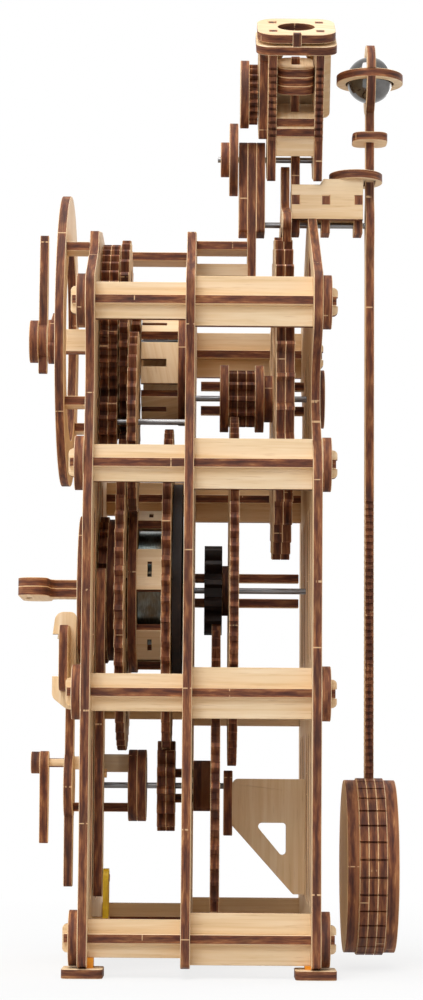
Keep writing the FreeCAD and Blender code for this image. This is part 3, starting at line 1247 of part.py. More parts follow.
save("stop_pointer", [cut(piece, [rod(0, crank_z, half_ply + BORE_FIT, pointer_boss_y,
                                      pointer_y + PLY)])
                      for piece in (pointer, pointer_boss)])

# Anchor and pendulum

pitch_angle = 360.0 / ESCAPE_TEETH
pallet_angle = ANCHOR_SPAN_PITCHES / 2 * pitch_angle
pallet_r = ESCAPE_R + PALLET_CLEAR


def around_escape(r, degrees):
    a = math.radians(degrees)
    return (r * math.sin(a), ESCAPE_Z + r * math.cos(a))


pallet_x = pallet_r * math.sin(math.radians(pallet_angle))
anchor_top = PENDULUM_Z + HEAD_RISE - 2.5
anchor_right = [(3.0, anchor_top, 2.6), (3.0, PENDULUM_Z + 6, 4),
                (pallet_x + 3.3, PENDULUM_Z - 1.4, 3),
                (pallet_x + 6.8, PENDULUM_Z - 4.6, 1.5), around_escape(pallet_r + 5.6, pallet_angle + 2.5),
                around_escape(pallet_r + 4.2, pallet_angle + 1.2),
                around_escape(pallet_r, pallet_angle + 0.8), around_escape(pallet_r, pallet_angle - 0.8),
                around_escape(pallet_r + 4.8, pallet_angle - 1.25),
                (12.0, PENDULUM_Z - 3.5, 3), (4.0, PENDULUM_Z - 3.9)]
anchor = plate_xz(anchor_right + mirrored(anchor_right), anchor_y)
save("anchor", [anchor.cut(rod(0, PENDULUM_Z, ARBOR_R, anchor_y, anchor_y + PLY))])
save("pendulum_arbor", [rod(0, PENDULUM_Z, ARBOR_R, post_y, rod_y + PLY)])


def rack(x, direction, low, high, depth=RACK_DEPTH):
    """Points of a notched edge from low to high; direction is where the teeth point."""
    points = []
    count = int((high - low) / RACK_PITCH)
    for i in range(count):
        z = low + i * RACK_PITCH
        points.append((x - direction * depth, z))
        points.append((x - direction * depth, z + RACK_PITCH * 0.45))
        points.append((x, z + RACK_PITCH * 0.45))
        points.append((x, z + RACK_PITCH))
    return points


rod_low = BOB_Z - 22.0
rod_right = [(ROD_HALF, rod_low)] + rack(ROD_HALF, 1, BOB_Z + BOB_R + 0.5,
                                        BOB_Z + BOB_R + 0.5 + RACK_LENGTH)
rod_right += [(ROD_HALF, PENDULUM_Z - 12, 4), (5.0, PENDULUM_Z - 3, 3), (5.0, PENDULUM_Z + 3, 3),
              (ROD_NECK_HALF, PENDULUM_Z + 10, 3), (ROD_NECK_HALF, BALL_Z - CAGE_R + 1.5)]
rod_sheet = plate_xz(rod_right + mirrored(rod_right), rod_y)
cage = rod(0, BALL_Z, CAGE_R, rod_y, rod_y + PLY)
rod_sheet = rod_sheet.fuse(cage).removeSplitter()
lap_x = (CAGE_HOLE_R + CAGE_R) / 2
cage_cuts = [rod(0, BALL_Z, CAGE_HOLE_R, rod_y, rod_y + PLY),
             rod(0, PENDULUM_Z, ARBOR_R, rod_y, rod_y + PLY)]
for side in (1, -1):
    low, high = sorted((side * lap_x, side * (CAGE_R + 1)))
    cage_cuts.append(box(low, high, rod_y, rod_y + PLY, BALL_Z - half_ply, BALL_Z + half_ply))
save("pendulum_rod", [cut(rod_sheet, cage_cuts)])
rod_mid_y = rod_y + half_ply
ball_ring = Part.makeCylinder(BALL_RING_R, PLY, V(0, rod_mid_y, BALL_Z - half_ply), V(0, 0, 1))
ball_ring = ball_ring.cut(Part.makeCylinder(CAGE_HOLE_R, PLY, V(0, rod_mid_y, BALL_Z - half_ply),
                                            V(0, 0, 1)))
ball_ring = ball_ring.cut(box(-lap_x, lap_x, rod_y, rod_y + PLY, BALL_Z - PLY, BALL_Z + PLY))
collar = plate_xy([(-6, rod_mid_y - 6, 3.5), (6, rod_mid_y - 6, 3.5), (6, rod_mid_y + 6, 3.5),
                   (-6, rod_mid_y + 6, 3.5)], COLLAR_Z - half_ply)
collar = collar.cut(box(-ROD_NECK_HALF, ROD_NECK_HALF, rod_y, rod_y + PLY,
                        COLLAR_Z - PLY, COLLAR_Z + PLY))
save("pendulum_rings", [ball_ring, collar])
save("pendulum_ball", [Part.makeSphere(BALL_R, V(0, rod_mid_y, BALL_Z))])


def bob_ring(y, slotted):
    """A notched layer of the bob; the middle one takes the rod in a slot."""
    points = []
    depth, half = 1.0, 0.35
    for i in range(BOB_NOTCHES):
        a = math.pi / 2 + 2 * math.pi * (i + 0.5) / BOB_NOTCHES
        for r, d in ((BOB_R, -half), (BOB_R - depth, -half), (BOB_R - depth, half), (BOB_R, half)):
            points.append((r * math.cos(a + d / r), BOB_Z + r * math.sin(a + d / r)))
    ring = plate_xz(points, y)
    if slotted:
        ring = ring.cut(box(-ROD_HALF, ROD_HALF, y, y + PLY, rod_low, BOB_Z + BOB_R + 1))
    return ring


save("bob_layers", [bob_ring(rod_y - PLY, False), bob_ring(rod_y, True),
                    bob_ring(rod_y + PLY, False),
                    rod(0, BOB_Z, BOB_DISC_R, bob_front_y, bob_front_y + BOB_DISC_THICK),
                    rod(0, BOB_Z, BOB_DISC_R, bob_back_y - BOB_DISC_THICK, bob_back_y)])

# Tilting head, drawn upright on its axle and then leaned to its resting place

HUB_R = 6.5
SKIRT_LOW = -4.3
FLOOR_LOW = 11.5
TAB_X = 7.0
CAP_HALF = TAB_X + half_ply + 4.7
CAP_CORNER = 7.0
HEAD_RACK_DEPTH = 1.3
CAP_GAP = 1.0
cap_low = HEAD_TOP + PLY + CAP_GAP


def lean(shape):
    leaned = shape.copy()
    leaned.rotate(V(0, 0, HEAD_Z), V(0, 1, 0), HEAD_LEAN)
    return leaned


def head_wall(y):
    """A wall with notched edges, a round hub on the axle and two tabs for the cap."""
    hw = HEAD_HALF_WIDTH
    edge = [(hw, HEAD_Z + SKIRT_LOW, 1)] + rack(hw, 1, HEAD_Z + 9, HEAD_Z + HEAD_TOP - 1,
                                                   HEAD_RACK_DEPTH)
    edge += [(hw, HEAD_Z + HEAD_TOP)]
    edge += [(TAB_X + half_ply, HEAD_Z + HEAD_TOP), (TAB_X + half_ply, HEAD_Z + cap_low + PLY),
             (TAB_X - half_ply, HEAD_Z + cap_low + PLY), (TAB_X - half_ply, HEAD_Z + HEAD_TOP)]
    wall = plate_xz(edge + mirrored(edge), y)
    wall = wall.fuse(rod(0, HEAD_Z, HUB_R, y, y + PLY)).removeSplitter()
    return cut(wall, [rod(0, HEAD_Z, ARBOR_R, y, y + PLY),
                      box(-4, 4, y, y + PLY, HEAD_Z + FLOOR_LOW, HEAD_Z + FLOOR_LOW + PLY)])


def head_box(x0, x1, y0, y1, h0, h1):
    return box(x0, x1, y0, y1, HEAD_Z + h0, HEAD_Z + h1)


inside_y0 = head_wall_y + PLY
inside_y1 = head_rear_y
wheel_pin = rod(0, HEAD_Z + HEAD_WHEEL_H, ARBOR_R, head_wheel_y - PLY, inside_y0)
front_wall = head_wall(head_wall_y).cut(wheel_pin)
cover = slot(-9, 9, HEAD_Z + 9.5, HEAD_Z + HEAD_TOP - 3, head_cover_y, 1).cut(wheel_pin)
save("head_walls", [lean(front_wall), lean(head_wall(head_rear_y)), lean(cover)])
floor = head_box(-HEAD_HALF_WIDTH, HEAD_HALF_WIDTH, inside_y0, inside_y1, FLOOR_LOW,
                 FLOOR_LOW + PLY)
floor_top = head_box(-HEAD_HALF_WIDTH + 2, HEAD_HALF_WIDTH - 2, inside_y0, inside_y1,
                     FLOOR_LOW + PLY, FLOOR_LOW + 2 * PLY)
floor = floor.fuse(head_box(-4, 4, head_wall_y, head_rear_y + PLY, FLOOR_LOW,
                            FLOOR_LOW + PLY)).removeSplitter()
peg_y0, peg_y1 = head_mid_y - half_ply, head_mid_y + half_ply
peg_hole = head_box(-half_ply, half_ply, peg_y0, peg_y1, 0, HEAD_TOP)
web = head_box(8, 11, inside_y0, inside_y1, 4.3, FLOOR_LOW)
SIDE_HALF = 12.6
side_plate = plate_yz([(head_mid_y - SIDE_HALF, HEAD_Z + 12, 2), (head_mid_y + SIDE_HALF, HEAD_Z + 12, 2),
                       (head_mid_y + SIDE_HALF, HEAD_Z + HEAD_TOP - 1.6, 1),
                       (head_mid_y - SIDE_HALF, HEAD_Z + HEAD_TOP - 1.6, 1)], -HEAD_HALF_WIDTH - PLY)
side_arch = Part.makeCylinder(4.8, PLY, V(-HEAD_HALF_WIDTH - PLY, head_mid_y, HEAD_Z + 31),
                              V(1, 0, 0))
side_slot = box(-HEAD_HALF_WIDTH - PLY, -HEAD_HALF_WIDTH, head_mid_y - 4.8, head_mid_y + 4.8,
                HEAD_Z + 25, HEAD_Z + 31)
side_plate = cut(side_plate, [side_arch.fuse(side_slot)])
save("head_plates", [lean(floor.cut(peg_hole)), lean(floor_top.cut(peg_hole)), lean(web),
                     lean(side_plate)])


def weight(h):
    half = HEAD_INSIDE / 2 - FACE_GAP
    slab = plate_xy([(-9, head_mid_y - half, 4), (9, head_mid_y - half, 4),
                     (9, head_mid_y + half, 4), (-9, head_mid_y + half, 4)], HEAD_Z + h)
    return lean(slab.cut(peg_hole))


head_peg = head_box(-half_ply, half_ply, peg_y0, peg_y1, FLOOR_LOW - 1.5, HEAD_TOP - 3.6)
WEIGHT_LOW = 25.0
save("head_weights", [weight(WEIGHT_LOW + i * PLY) for i in range(3)] + [lean(head_peg)])
tabs = [head_box(side * TAB_X - half_ply, side * TAB_X + half_ply, y, y + PLY, HEAD_TOP, cap_low + PLY)
        for side in (1, -1) for y in (head_wall_y, head_rear_y)]


key_box = head_box(CAP_HALF - 2.2, CAP_HALF + 0.3, peg_y0, peg_y1, HEAD_TOP + PLY, cap_low + PLY + 0.3)


def cap_sheet(h, half, corner, hole):
    """A rounded square sheet of the cap with the slots of the walls' tabs."""
    sheet = plate_xy([(-half, head_mid_y - half, corner), (half, head_mid_y - half, corner),
                      (half, head_mid_y + half, corner), (-half, head_mid_y + half, corner)],
                     HEAD_Z + h)
    hole = Part.makeCylinder(hole, PLY, V(0, head_mid_y, HEAD_Z + h), V(0, 0, 1))
    return lean(cut(sheet, [hole, key_box] + tabs))


head_caps = [cap_sheet(HEAD_TOP, CAP_HALF + 0.4, CAP_CORNER - 2, CAP_HOLE_R - 1),
             cap_sheet(cap_low, CAP_HALF, CAP_CORNER, CAP_HOLE_R), lean(key_box)]
AXLE_BOSS_R = 6.0
AXLE_DISC_R = 12.5
axle_boss_y = axle_disc_y - PLY
axle = rod(0, HEAD_Z, ARBOR_R, axle_boss_y - 1, head_rear_y + PLY)
save("head_axle", [axle, lean(wheel_pin)])
axle_discs = [rod(0, HEAD_Z, r, y, y + PLY).cut(rod(0, HEAD_Z, ARBOR_R, y, y + PLY))
              for r, y in ((AXLE_DISC_R, axle_disc_y), (AXLE_BOSS_R, axle_boss_y))]
save("head_discs", head_caps + axle_discs)
pin_bore = ARBOR_R + RUN_FIT
head_gear = toothed(0, HEAD_Z + HEAD_WHEEL_H, HEAD_WHEEL_TEETH, HEAD_WHEEL_MODULE, head_wheel_y, 90.0)
head_disc = rod(0, HEAD_Z + HEAD_WHEEL_H, HEAD_DISC_R, head_wheel_y - PLY, head_wheel_y)
save("head_wheel", [lean(piece.cut(rod(0, HEAD_Z + HEAD_WHEEL_H, pin_bore, head_wheel_y - PLY,
                                       head_wheel_y + PLY))) for piece in (head_gear, head_disc)])
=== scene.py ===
"""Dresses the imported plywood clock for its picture: cut sheets, steel, rubber and the dial's marks."""
import json
import math
import random

import bmesh
import bpy
import numpy as np
from mathutils import Matrix, Vector


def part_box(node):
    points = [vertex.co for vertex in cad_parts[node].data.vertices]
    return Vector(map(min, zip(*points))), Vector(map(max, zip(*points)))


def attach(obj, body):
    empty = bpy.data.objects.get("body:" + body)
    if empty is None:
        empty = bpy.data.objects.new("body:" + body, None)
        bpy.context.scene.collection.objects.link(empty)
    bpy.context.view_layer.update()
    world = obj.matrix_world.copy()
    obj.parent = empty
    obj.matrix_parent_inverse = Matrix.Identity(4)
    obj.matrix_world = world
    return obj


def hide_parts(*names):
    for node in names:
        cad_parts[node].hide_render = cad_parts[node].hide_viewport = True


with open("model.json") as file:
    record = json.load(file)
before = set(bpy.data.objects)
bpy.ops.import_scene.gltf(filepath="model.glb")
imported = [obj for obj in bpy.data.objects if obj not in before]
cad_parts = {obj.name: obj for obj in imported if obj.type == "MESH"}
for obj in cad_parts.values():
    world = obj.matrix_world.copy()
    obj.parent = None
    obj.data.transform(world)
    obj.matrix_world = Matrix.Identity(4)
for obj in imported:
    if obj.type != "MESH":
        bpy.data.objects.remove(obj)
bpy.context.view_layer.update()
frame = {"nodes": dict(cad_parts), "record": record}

MM = 0.001
PLY = 3.0 * MM             # thickness of every sheet
RIM = 0.16 * MM            # pale rim that the laser leaves along a cut
FLAT = 0.7                 # share of a normal along the sheet above which a face is a sheet's face
body_of_node = {n: b for b, nodes in frame["record"]["behaviour"]["bodies"].items() for n in nodes}


# Colour and nodes

def linear(code):
    """An sRGB hex colour as the linear colour that a shader takes."""
    parts = [int(code[i:i + 2], 16) / 255 for i in (1, 3, 5)]
    return [c / 12.92 if c <= 0.04045 else ((c + 0.055) / 1.055) ** 2.4 for c in parts] + [1.0]


def add(tree, kind, settings=None, **links):
    """Adds a shader node. Settings name its fields and its unlinked sockets, a hex code is a
    colour, and "stops" are a ramp's (place, hex code) pairs. A link is a socket of another node,
    or a node whose first output is meant, and _0 is the first input."""
    node = tree.nodes.new("ShaderNode" + kind)
    for key, value in (settings or {}).items():
        if isinstance(value, str) and value.startswith("#"):
            value = linear(value)
        if key == "stops":
            while len(node.color_ramp.elements) < len(value):
                node.color_ramp.elements.new(0.5)
            for element, (place, code) in zip(node.color_ramp.elements, value):
                element.position, element.color = place, linear(code)
        elif isinstance(key, str) and hasattr(node, key):
            setattr(node, key, value)
        else:
            socket_of(node, key).default_value = value
    for key, source in links.items():
        tree.links.new(out_of(source), socket_of(node, int(key[1:]) if key[0] == "_" else key))
    return node


def socket_of(node, key):
    """The input with this number, or the one in use with this name."""
    return node.inputs[key] if isinstance(key, int) else next(
        s for s in node.inputs if s.enabled and s.name == key)


def out_of(source):
    """The socket itself, or a node's first output in use."""
    if isinstance(source, bpy.types.NodeSocket):
        return source
    return next(s for s in source.outputs if s.enabled)


def new_material(name, roughness=0.5, metallic=0.0, ior=1.45):
    """A material with its even values set on the shader itself."""
    material = bpy.data.materials.new(name)
    material.use_nodes = True
    shader = material.node_tree.nodes["Principled BSDF"]
    shader.inputs["Roughness"].default_value = roughness
    shader.inputs["Metallic"].default_value = metallic
    if not metallic:
        shader.inputs["IOR"].default_value = ior
    return material, material.node_tree, shader


def join(tree, shader, color=None, roughness=None, height=None, depth=0.0, strength=0.4):
    """Links what a material has worked out to its shader; depth is the bump's, in mm."""
    if color:
        tree.links.new(out_of(color), shader.inputs["Base Color"])
    if roughness:
        tree.links.new(out_of(roughness), shader.inputs["Roughness"])
    if height:
        bump = add(tree, "Bump", {"Strength": strength, "Distance": depth * MM}, Height=height)
        tree.links.new(out_of(bump), shader.inputs["Normal"])


def per_mm(*sizes):
    """The scale at which one unit of a pattern measures these sizes in mm; 0 leaves an axis out."""
    return [1 / (size * MM) if size else 0.0 for size in sizes]


def birch_veneer():
    """Birch plywood, sanded and left raw: pale cream with soft growth lines along the sheet, short
    darker pores, and cloudy tones from one stretch to the next."""
    material, tree, shader = new_material("sanded_birch_plywood", roughness=0.62)
    sheet = add(tree, "Attribute", {"attribute_name": "sheet"}).outputs["Vector"]
    line_place = add(tree, "Mapping", {"Scale": per_mm(40, 1.6, 6)}, Vector=sheet)
    lines = add(tree, "TexNoise", {"Scale": 1.0, "Detail": 4.0, "Roughness": 0.55, "Distortion": 0.4},
                Vector=line_place)
    cloud_place = add(tree, "Mapping", {"Scale": per_mm(60, 26, 40)}, Vector=sheet)
    clouds = add(tree, "TexNoise", {"Scale": 1.0, "Detail": 2.0}, Vector=cloud_place)
    clouds = add(tree, "MapRange", {"From Min": 0.35, "From Max": 0.7, "To Max": 0.4}, Value=clouds)
    # Real pores are 0.1 mm wide; they are drawn 0.5 mm wide so that they show
    pore_place = add(tree, "Mapping", {"Scale": per_mm(9, 0.5, 5)}, Vector=sheet)
    pores = add(tree, "TexNoise", {"Scale": 1.0, "Detail": 2.0, "Roughness": 0.6}, Vector=pore_place)
    pores = add(tree, "MapRange", {"From Min": 0.62, "From Max": 0.75, "To Max": 0.28}, Value=pores)
    wood = add(tree, "ValToRGB", {"stops": ((0.25, "#DDBD90"), (0.5, "#EACFA8"), (0.75, "#F2DDBF"))},
               Fac=lines)
    wood = add(tree, "Mix", {"data_type": "RGBA", "blend_type": "MULTIPLY", "B": "#E9CCA4"},
               Factor=clouds, A=wood)
    wood = add(tree, "Mix", {"data_type": "RGBA", "blend_type": "MULTIPLY", "B": "#BA9064"},
               Factor=pores, A=wood)
    join(tree, shader, wood, height=lines, depth=0.06)
    return material


def burnt_edge():
    """Plywood cut by a laser: reddish brown char, darker in soot patches and tan in patches that are
    partly where the beam ran fast and partly painted highlight, its three plies in bands, and pale nicks
    where bridges held the piece in its sheet."""
    material, tree, shader = new_material("laser_cut_plywood_edge", roughness=0.72)
    sheet = add(tree, "Attribute", {"attribute_name": "sheet"}).outputs["Vector"]
    char_place = add(tree, "Mapping", {"Scale": per_mm(8, 8, 1.1)}, Vector=sheet)
    char = add(tree, "TexNoise", {"Scale": 1.0, "Detail": 4.0, "Roughness": 0.6}, Vector=char_place)
    # The tan top stop is partly lighter char and partly painted highlight, scattered over the edge by
    # the noise
    wood = add(tree, "ValToRGB", {"stops": ((0.26, "#3C1C10"), (0.42, "#653420"), (0.56, "#8A5230"),
                                            (0.74, "#BE8655"))}, Fac=char)
    soot_place = add(tree, "Mapping", {"Scale": per_mm(17, 17, 20)}, Vector=sheet)
    soot = add(tree, "TexNoise", {"Scale": 1.0, "Detail": 2.0}, Vector=soot_place)
    soot = add(tree, "MapRange", {"From Min": 0.46, "From Max": 0.68, "To Max": 0.55}, Value=soot)
    wood = add(tree, "Mix", {"data_type": "RGBA", "B": "#30170D"}, Factor=soot, A=wood)
    # The depth through the sheet runs from 0 to 3 mm: a dark core ply between paler outer plies
    depth = add(tree, "SeparateXYZ", Vector=sheet).outputs["Z"]
    depth = add(tree, "Math", {"operation": "SUBTRACT", 1: PLY / 2}, _0=depth)
    depth = add(tree, "Math", {"operation": "ABSOLUTE"}, _0=depth)
    core = add(tree, "MapRange", {"From Min": 0.35 * MM, "From Max": 0.75 * MM, "To Min": 0.5,
                                  "To Max": 0.0}, Value=depth)
    wood = add(tree, "Mix", {"data_type": "RGBA", "blend_type": "MULTIPLY", "B": "#8E6450"},
               Factor=core, A=wood)
    skin = add(tree, "MapRange", {"From Min": 1.1 * MM, "From Max": 1.4 * MM, "To Max": 0.55},
               Value=depth)
    wood = add(tree, "Mix", {"data_type": "RGBA", "B": "#A56C42"}, Factor=skin, A=wood)
    # Bridges stand about 60 mm apart along a cut; each is 0.3 mm wide and partly broken off
    cell_place = add(tree, "Mapping", {"Scale": per_mm(64, 64, 0)}, Vector=sheet)
    cells = add(tree, "TexVoronoi", {"voronoi_dimensions": "2D", "feature": "DISTANCE_TO_EDGE",
                                     "Scale": 1.0, "Randomness": 1.0}, Vector=cell_place)
    bridge = add(tree, "MapRange", {"From Min": 0.0016, "From Max": 0.0032, "To Min": 1.0,
                                    "To Max": 0.0}, Value=cells)
    break_place = add(tree, "Mapping", {"Scale": per_mm(5, 5, 1.3)}, Vector=sheet)
    left = add(tree, "TexNoise", {"Scale": 1.0, "Detail": 1.0}, Vector=break_place)
    left = add(tree, "MapRange", {"From Min": 0.4, "From Max": 0.5, "To Max": 0.8}, Value=left)
    bridge = add(tree, "Math", {"operation": "MULTIPLY"}, _0=bridge, _1=left)
    wood = add(tree, "Mix", {"data_type": "RGBA", "B": "#E4BC8E"}, Factor=bridge, A=wood)
    # The beam's striations run through the sheet; they are drawn 0.9 mm apart so that they show
    line_place = add(tree, "Mapping", {"Scale": per_mm(0.9, 0.9, 6)}, Vector=sheet)
    lines = add(tree, "TexNoise", {"Scale": 1.0, "Detail": 3.0, "Roughness": 0.6}, Vector=line_place)
    join(tree, shader, wood, height=lines, depth=0.1, strength=0.5)
    return material


def turned_beech():
    """Turned beech rod: warm pale wood with fine darker lines along the piece, slightly polished."""
    material, tree, shader = new_material("turned_beech", roughness=0.5)
    place = add(tree, "TexCoord").outputs["Object"]
    place = add(tree, "Mapping", {"Scale": per_mm(0.8, 30, 0.8)}, Vector=place)
    grain = add(tree, "TexNoise", {"Scale": 1.0, "Detail": 3.0, "Roughness": 0.55}, Vector=place)
    wood = add(tree, "ValToRGB", {"stops": ((0.3, "#B98753"), (0.55, "#D3A66E"), (0.75, "#E2BE8A"))},
               Fac=grain)
    join(tree, shader, wood, height=grain, depth=0.05)
    return material


def black_stain():
    """Plywood stained black all over: brown black, the growth lines just showing."""
    material, tree, shader = new_material("black_stained_plywood", roughness=0.55)
    sheet = add(tree, "Attribute", {"attribute_name": "sheet"}).outputs["Vector"]
    place = add(tree, "Mapping", {"Scale": per_mm(20, 1.4, 4)}, Vector=sheet)
    grain = add(tree, "TexNoise", {"Scale": 1.0, "Detail": 4.0, "Roughness": 0.6}, Vector=place)
    wood = add(tree, "ValToRGB", {"stops": ((0.3, "#1B100C"), (0.6, "#2A1B15"), (0.8, "#463022"))},
               Fac=grain)
    join(tree, shader, wood, height=grain, depth=0.08, strength=0.5)
    return material


def steel_rod():
    """Ground steel rod: cool grey with fine lines along its length and a soft streak of light."""
    material, tree, shader = new_material("ground_steel", metallic=1.0)
    place = add(tree, "TexCoord").outputs["Object"]
    place = add(tree, "Mapping", {"Scale": per_mm(0.35, 25, 0.35)}, Vector=place)
    lines = add(tree, "TexNoise", {"Scale": 1.0, "Detail": 2.0}, Vector=place)
    steel = add(tree, "ValToRGB", {"stops": ((0.3, "#6E6E72"), (0.7, "#A09F9E"))}, Fac=lines)
    rough = add(tree, "MapRange", {"From Min": 0.3, "From Max": 0.7, "To Min": 0.28, "To Max": 0.42},
                Value=lines)
    join(tree, shader, steel, rough, lines, depth=0.02, strength=0.3)
    return material


def ball_steel():
    """Polished bearing steel: a mirror that shows the wood around it, its grey kept darker than bare
    steel as painted shade for the dark surroundings it reflects, with faint scuffs.
    """
    material, tree, shader = new_material("polished_bearing_steel", metallic=1.0)
    place = add(tree, "TexCoord").outputs["Object"]
    place = add(tree, "Mapping", {"Scale": per_mm(3, 3, 3)}, Vector=place)
    scuffs = add(tree, "TexNoise", {"Scale": 1.0, "Detail": 5.0, "Roughness": 0.65}, Vector=place)
    # These greys are darker than bare steel: painted shade for the dark surroundings that the ball
    # reflects
    steel = add(tree, "ValToRGB", {"stops": ((0.35, "#5F5D5B"), (0.7, "#777573"))}, Fac=scuffs)
    rough = add(tree, "MapRange", {"From Min": 0.45, "From Max": 0.75, "To Min": 0.06,
                                   "To Max": 0.2}, Value=scuffs)
    join(tree, shader, steel, rough, scuffs, depth=0.01, strength=0.15)
    return material


def spring_steel():
    """Oiled spring strip: satin blue grey drawn along its length, brown where old oil lies."""
    material, tree, shader = new_material("oiled_spring_steel", metallic=1.0)
    place = add(tree, "TexCoord").outputs["Object"]
    line_place = add(tree, "Mapping", {"Scale": per_mm(2, 0.5, 2)}, Vector=place)
    lines = add(tree, "TexNoise", {"Scale": 1.0, "Detail": 3.0, "Roughness": 0.55}, Vector=line_place)
    oil_place = add(tree, "Mapping", {"Scale": per_mm(9, 9, 9)}, Vector=place)
    oil = add(tree, "TexNoise", {"Scale": 1.0, "Detail": 2.0}, Vector=oil_place)
    stain = add(tree, "MapRange", {"From Min": 0.4, "From Max": 0.65, "To Max": 0.75}, Value=oil)
    steel = add(tree, "ValToRGB", {"stops": ((0.3, "#464D4C"), (0.7, "#7B8582"))}, Fac=lines)
    steel = add(tree, "Mix", {"data_type": "RGBA", "B": "#5E4A30"}, Factor=stain, A=steel)
    rough = add(tree, "MapRange", {"From Min": 0.3, "From Max": 0.7, "To Min": 0.25, "To Max": 0.45},
                Value=oil)
    join(tree, shader, steel, rough, lines, depth=0.02, strength=0.3)
    return material


def rubber(name, stops):
    """Natural rubber band: deep even colour, a dusty bloom and a soft sheen."""
    material, tree, shader = new_material(name)
    place = add(tree, "TexCoord").outputs["Object"]
    place = add(tree, "Mapping", {"Scale": per_mm(2.4, 2.4, 2.4)}, Vector=place)
    bloom = add(tree, "TexNoise", {"Scale": 1.0, "Detail": 4.0, "Roughness": 0.6}, Vector=place)
    colour = add(tree, "ValToRGB", {"stops": stops}, Fac=bloom)
    rough = add(tree, "MapRange", {"From Min": 0.3, "From Max": 0.7, "To Min": 0.38, "To Max": 0.6},
                Value=bloom)
    join(tree, shader, colour, rough, bloom, depth=0.05)
    return material


def engraving():
    """Marks burnt into the veneer by the laser at low power: matt dark brown, uneven."""
    material, tree, shader = new_material("laser_engraving", roughness=0.85)
    place = add(tree, "TexCoord").outputs["Object"]
    place = add(tree, "Mapping", {"Scale": per_mm(1.1, 1.1, 1.1)}, Vector=place)
    char = add(tree, "TexNoise", {"Scale": 1.0, "Detail": 4.0, "Roughness": 0.6}, Vector=place)
    burn = add(tree, "ValToRGB", {"stops": ((0.3, "#2B140B"), (0.7, "#5A3420"))}, Fac=char)
    join(tree, shader, burn, height=char, depth=0.05)
    return material


finish = {
    "wood": (birch_veneer(), burnt_edge()),
    "dowel": (turned_beech(),) * 2,
    "black": (black_stain(),) * 2,
    "rod": (steel_rod(),) * 2,
    "ball": (ball_steel(),) * 2,
    "spring": (spring_steel(),) * 2,
    "yellow_band": (rubber("yellow_rubber_band", ((0.3, "#C99A0C"), (0.7, "#E8C424"))),) * 2,
    "orange_band": (rubber("orange_rubber_band", ((0.3, "#D9820F"), (0.7, "#F2A62A"))),) * 2,
}
engraved = engraving()

# Which solids of a node aren't cut sheet; the rest are
OTHER_FINISH = {
    ("frame_pegs", 0): "dowel", ("frame_pegs", 1): "dowel", ("winding_arbor", 0): "dowel",
    ("lower_arbor", 0): "rod", ("rear_arbor", 0): "rod", ("escape_arbor", 0): "rod",
    ("minute_arbor", 0): "rod", ("motion_pinion", 2): "rod", ("pendulum_arbor", 0): "rod",
    ("head_axle", 0): "rod", ("head_axle", 1): "rod", ("pendulum_ball", 0): "ball",
    ("mainspring", 0): "spring", ("rear_pinion", 0): "black", ("rear_pinion", 1): "black",
    ("drum_caps", 1): "black", ("rubber_bands", 0): "yellow_band",
    **{("rubber_bands", i): "orange_band" for i in (1, 2, 3, 4)},
}

# Which way the sheet of a square peg or key faces, as its sides are alike
PEG_NORMAL = {
    **{(node, i): (0, 0, 1) for node in ("lower_arbor", "rear_arbor", "escape_arbor")
       for i in (1, 2, 3, 4)},
    ("head_weights", 3): (0, 1, 0), ("head_discs", 2): (0, 1, 0),
}


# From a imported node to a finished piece

def only(*objects):
    """Selects these objects alone and makes the first one active."""
    if bpy.context.object and bpy.context.object.mode != "OBJECT":
        bpy.ops.object.mode_set(mode="OBJECT")
    bpy.ops.object.select_all(action="DESELECT")
    for each in objects:
        each.select_set(True)
    bpy.context.view_layer.objects.active = objects[0]


def key_of(point):
    return tuple(int(round(c * 1e7)) for c in point)


def solids_of(mesh):
    """Runs of triangles (first, last) that each close into one solid."""
    keys = [key_of(v.co) for v in mesh.vertices]
    runs, first, waiting = [], 0, {}
    for i, face in enumerate(mesh.polygons):
        corners = [keys[v] for v in face.vertices]
        for a, b in zip(corners, corners[1:] + corners[:1]):
            if a == b:
                continue
            if waiting.get((b, a), 0):
                waiting[(b, a)] -= 1
                if not waiting[(b, a)]:
                    del waiting[(b, a)]
            else:
                waiting[(a, b)] = waiting.get((a, b), 0) + 1
        if not waiting:
            runs.append((first, i + 1))
            first = i + 1
    return runs


def sheet_normal(faces):
    """The direction that most of a solid's area faces."""
    areas = {}
    for face in faces:
        n = face.normal
        sign = -1 if (n.x, n.y, n.z) < (0, 0, 0) and max(abs(n.x), abs(n.y), abs(n.z)) > 0 else 1
        key = tuple(round(c * sign, 2) + 0.0 for c in n)
        area, total = areas.get(key, (0.0, Vector()))
        areas[key] = (area + face.calc_area(), total + n * sign * face.calc_area())
    return max(areas.values(), key=lambda v: v[0])[1].normalized()


def grain_of(points, normal, draw):
    """The grain runs along a piece's longer side; a round piece takes any direction."""
    axes = [Vector(a) for a in ((0, 0, 1), (0, 1, 0), (1, 0, 0))]
    sides = sorted(axes, key=lambda a: round(abs(normal.dot(a)), 3))[:2]
    sides = [(s - normal * s.dot(normal)).normalized() for s in sides]
    spans = [max(p.dot(s) for p in points) - min(p.dot(s) for p in points) for s in sides]
    along = sides[0] if spans[0] >= 0.9 * spans[1] else sides[1]
    if 0.9 < spans[0] / max(spans[1], 1e-9) < 1.1:
        along = Matrix.Rotation(draw.uniform(-0.5, 0.5), 3, normal) @ along
    return along.normalized(), normal.cross(along).normalized()


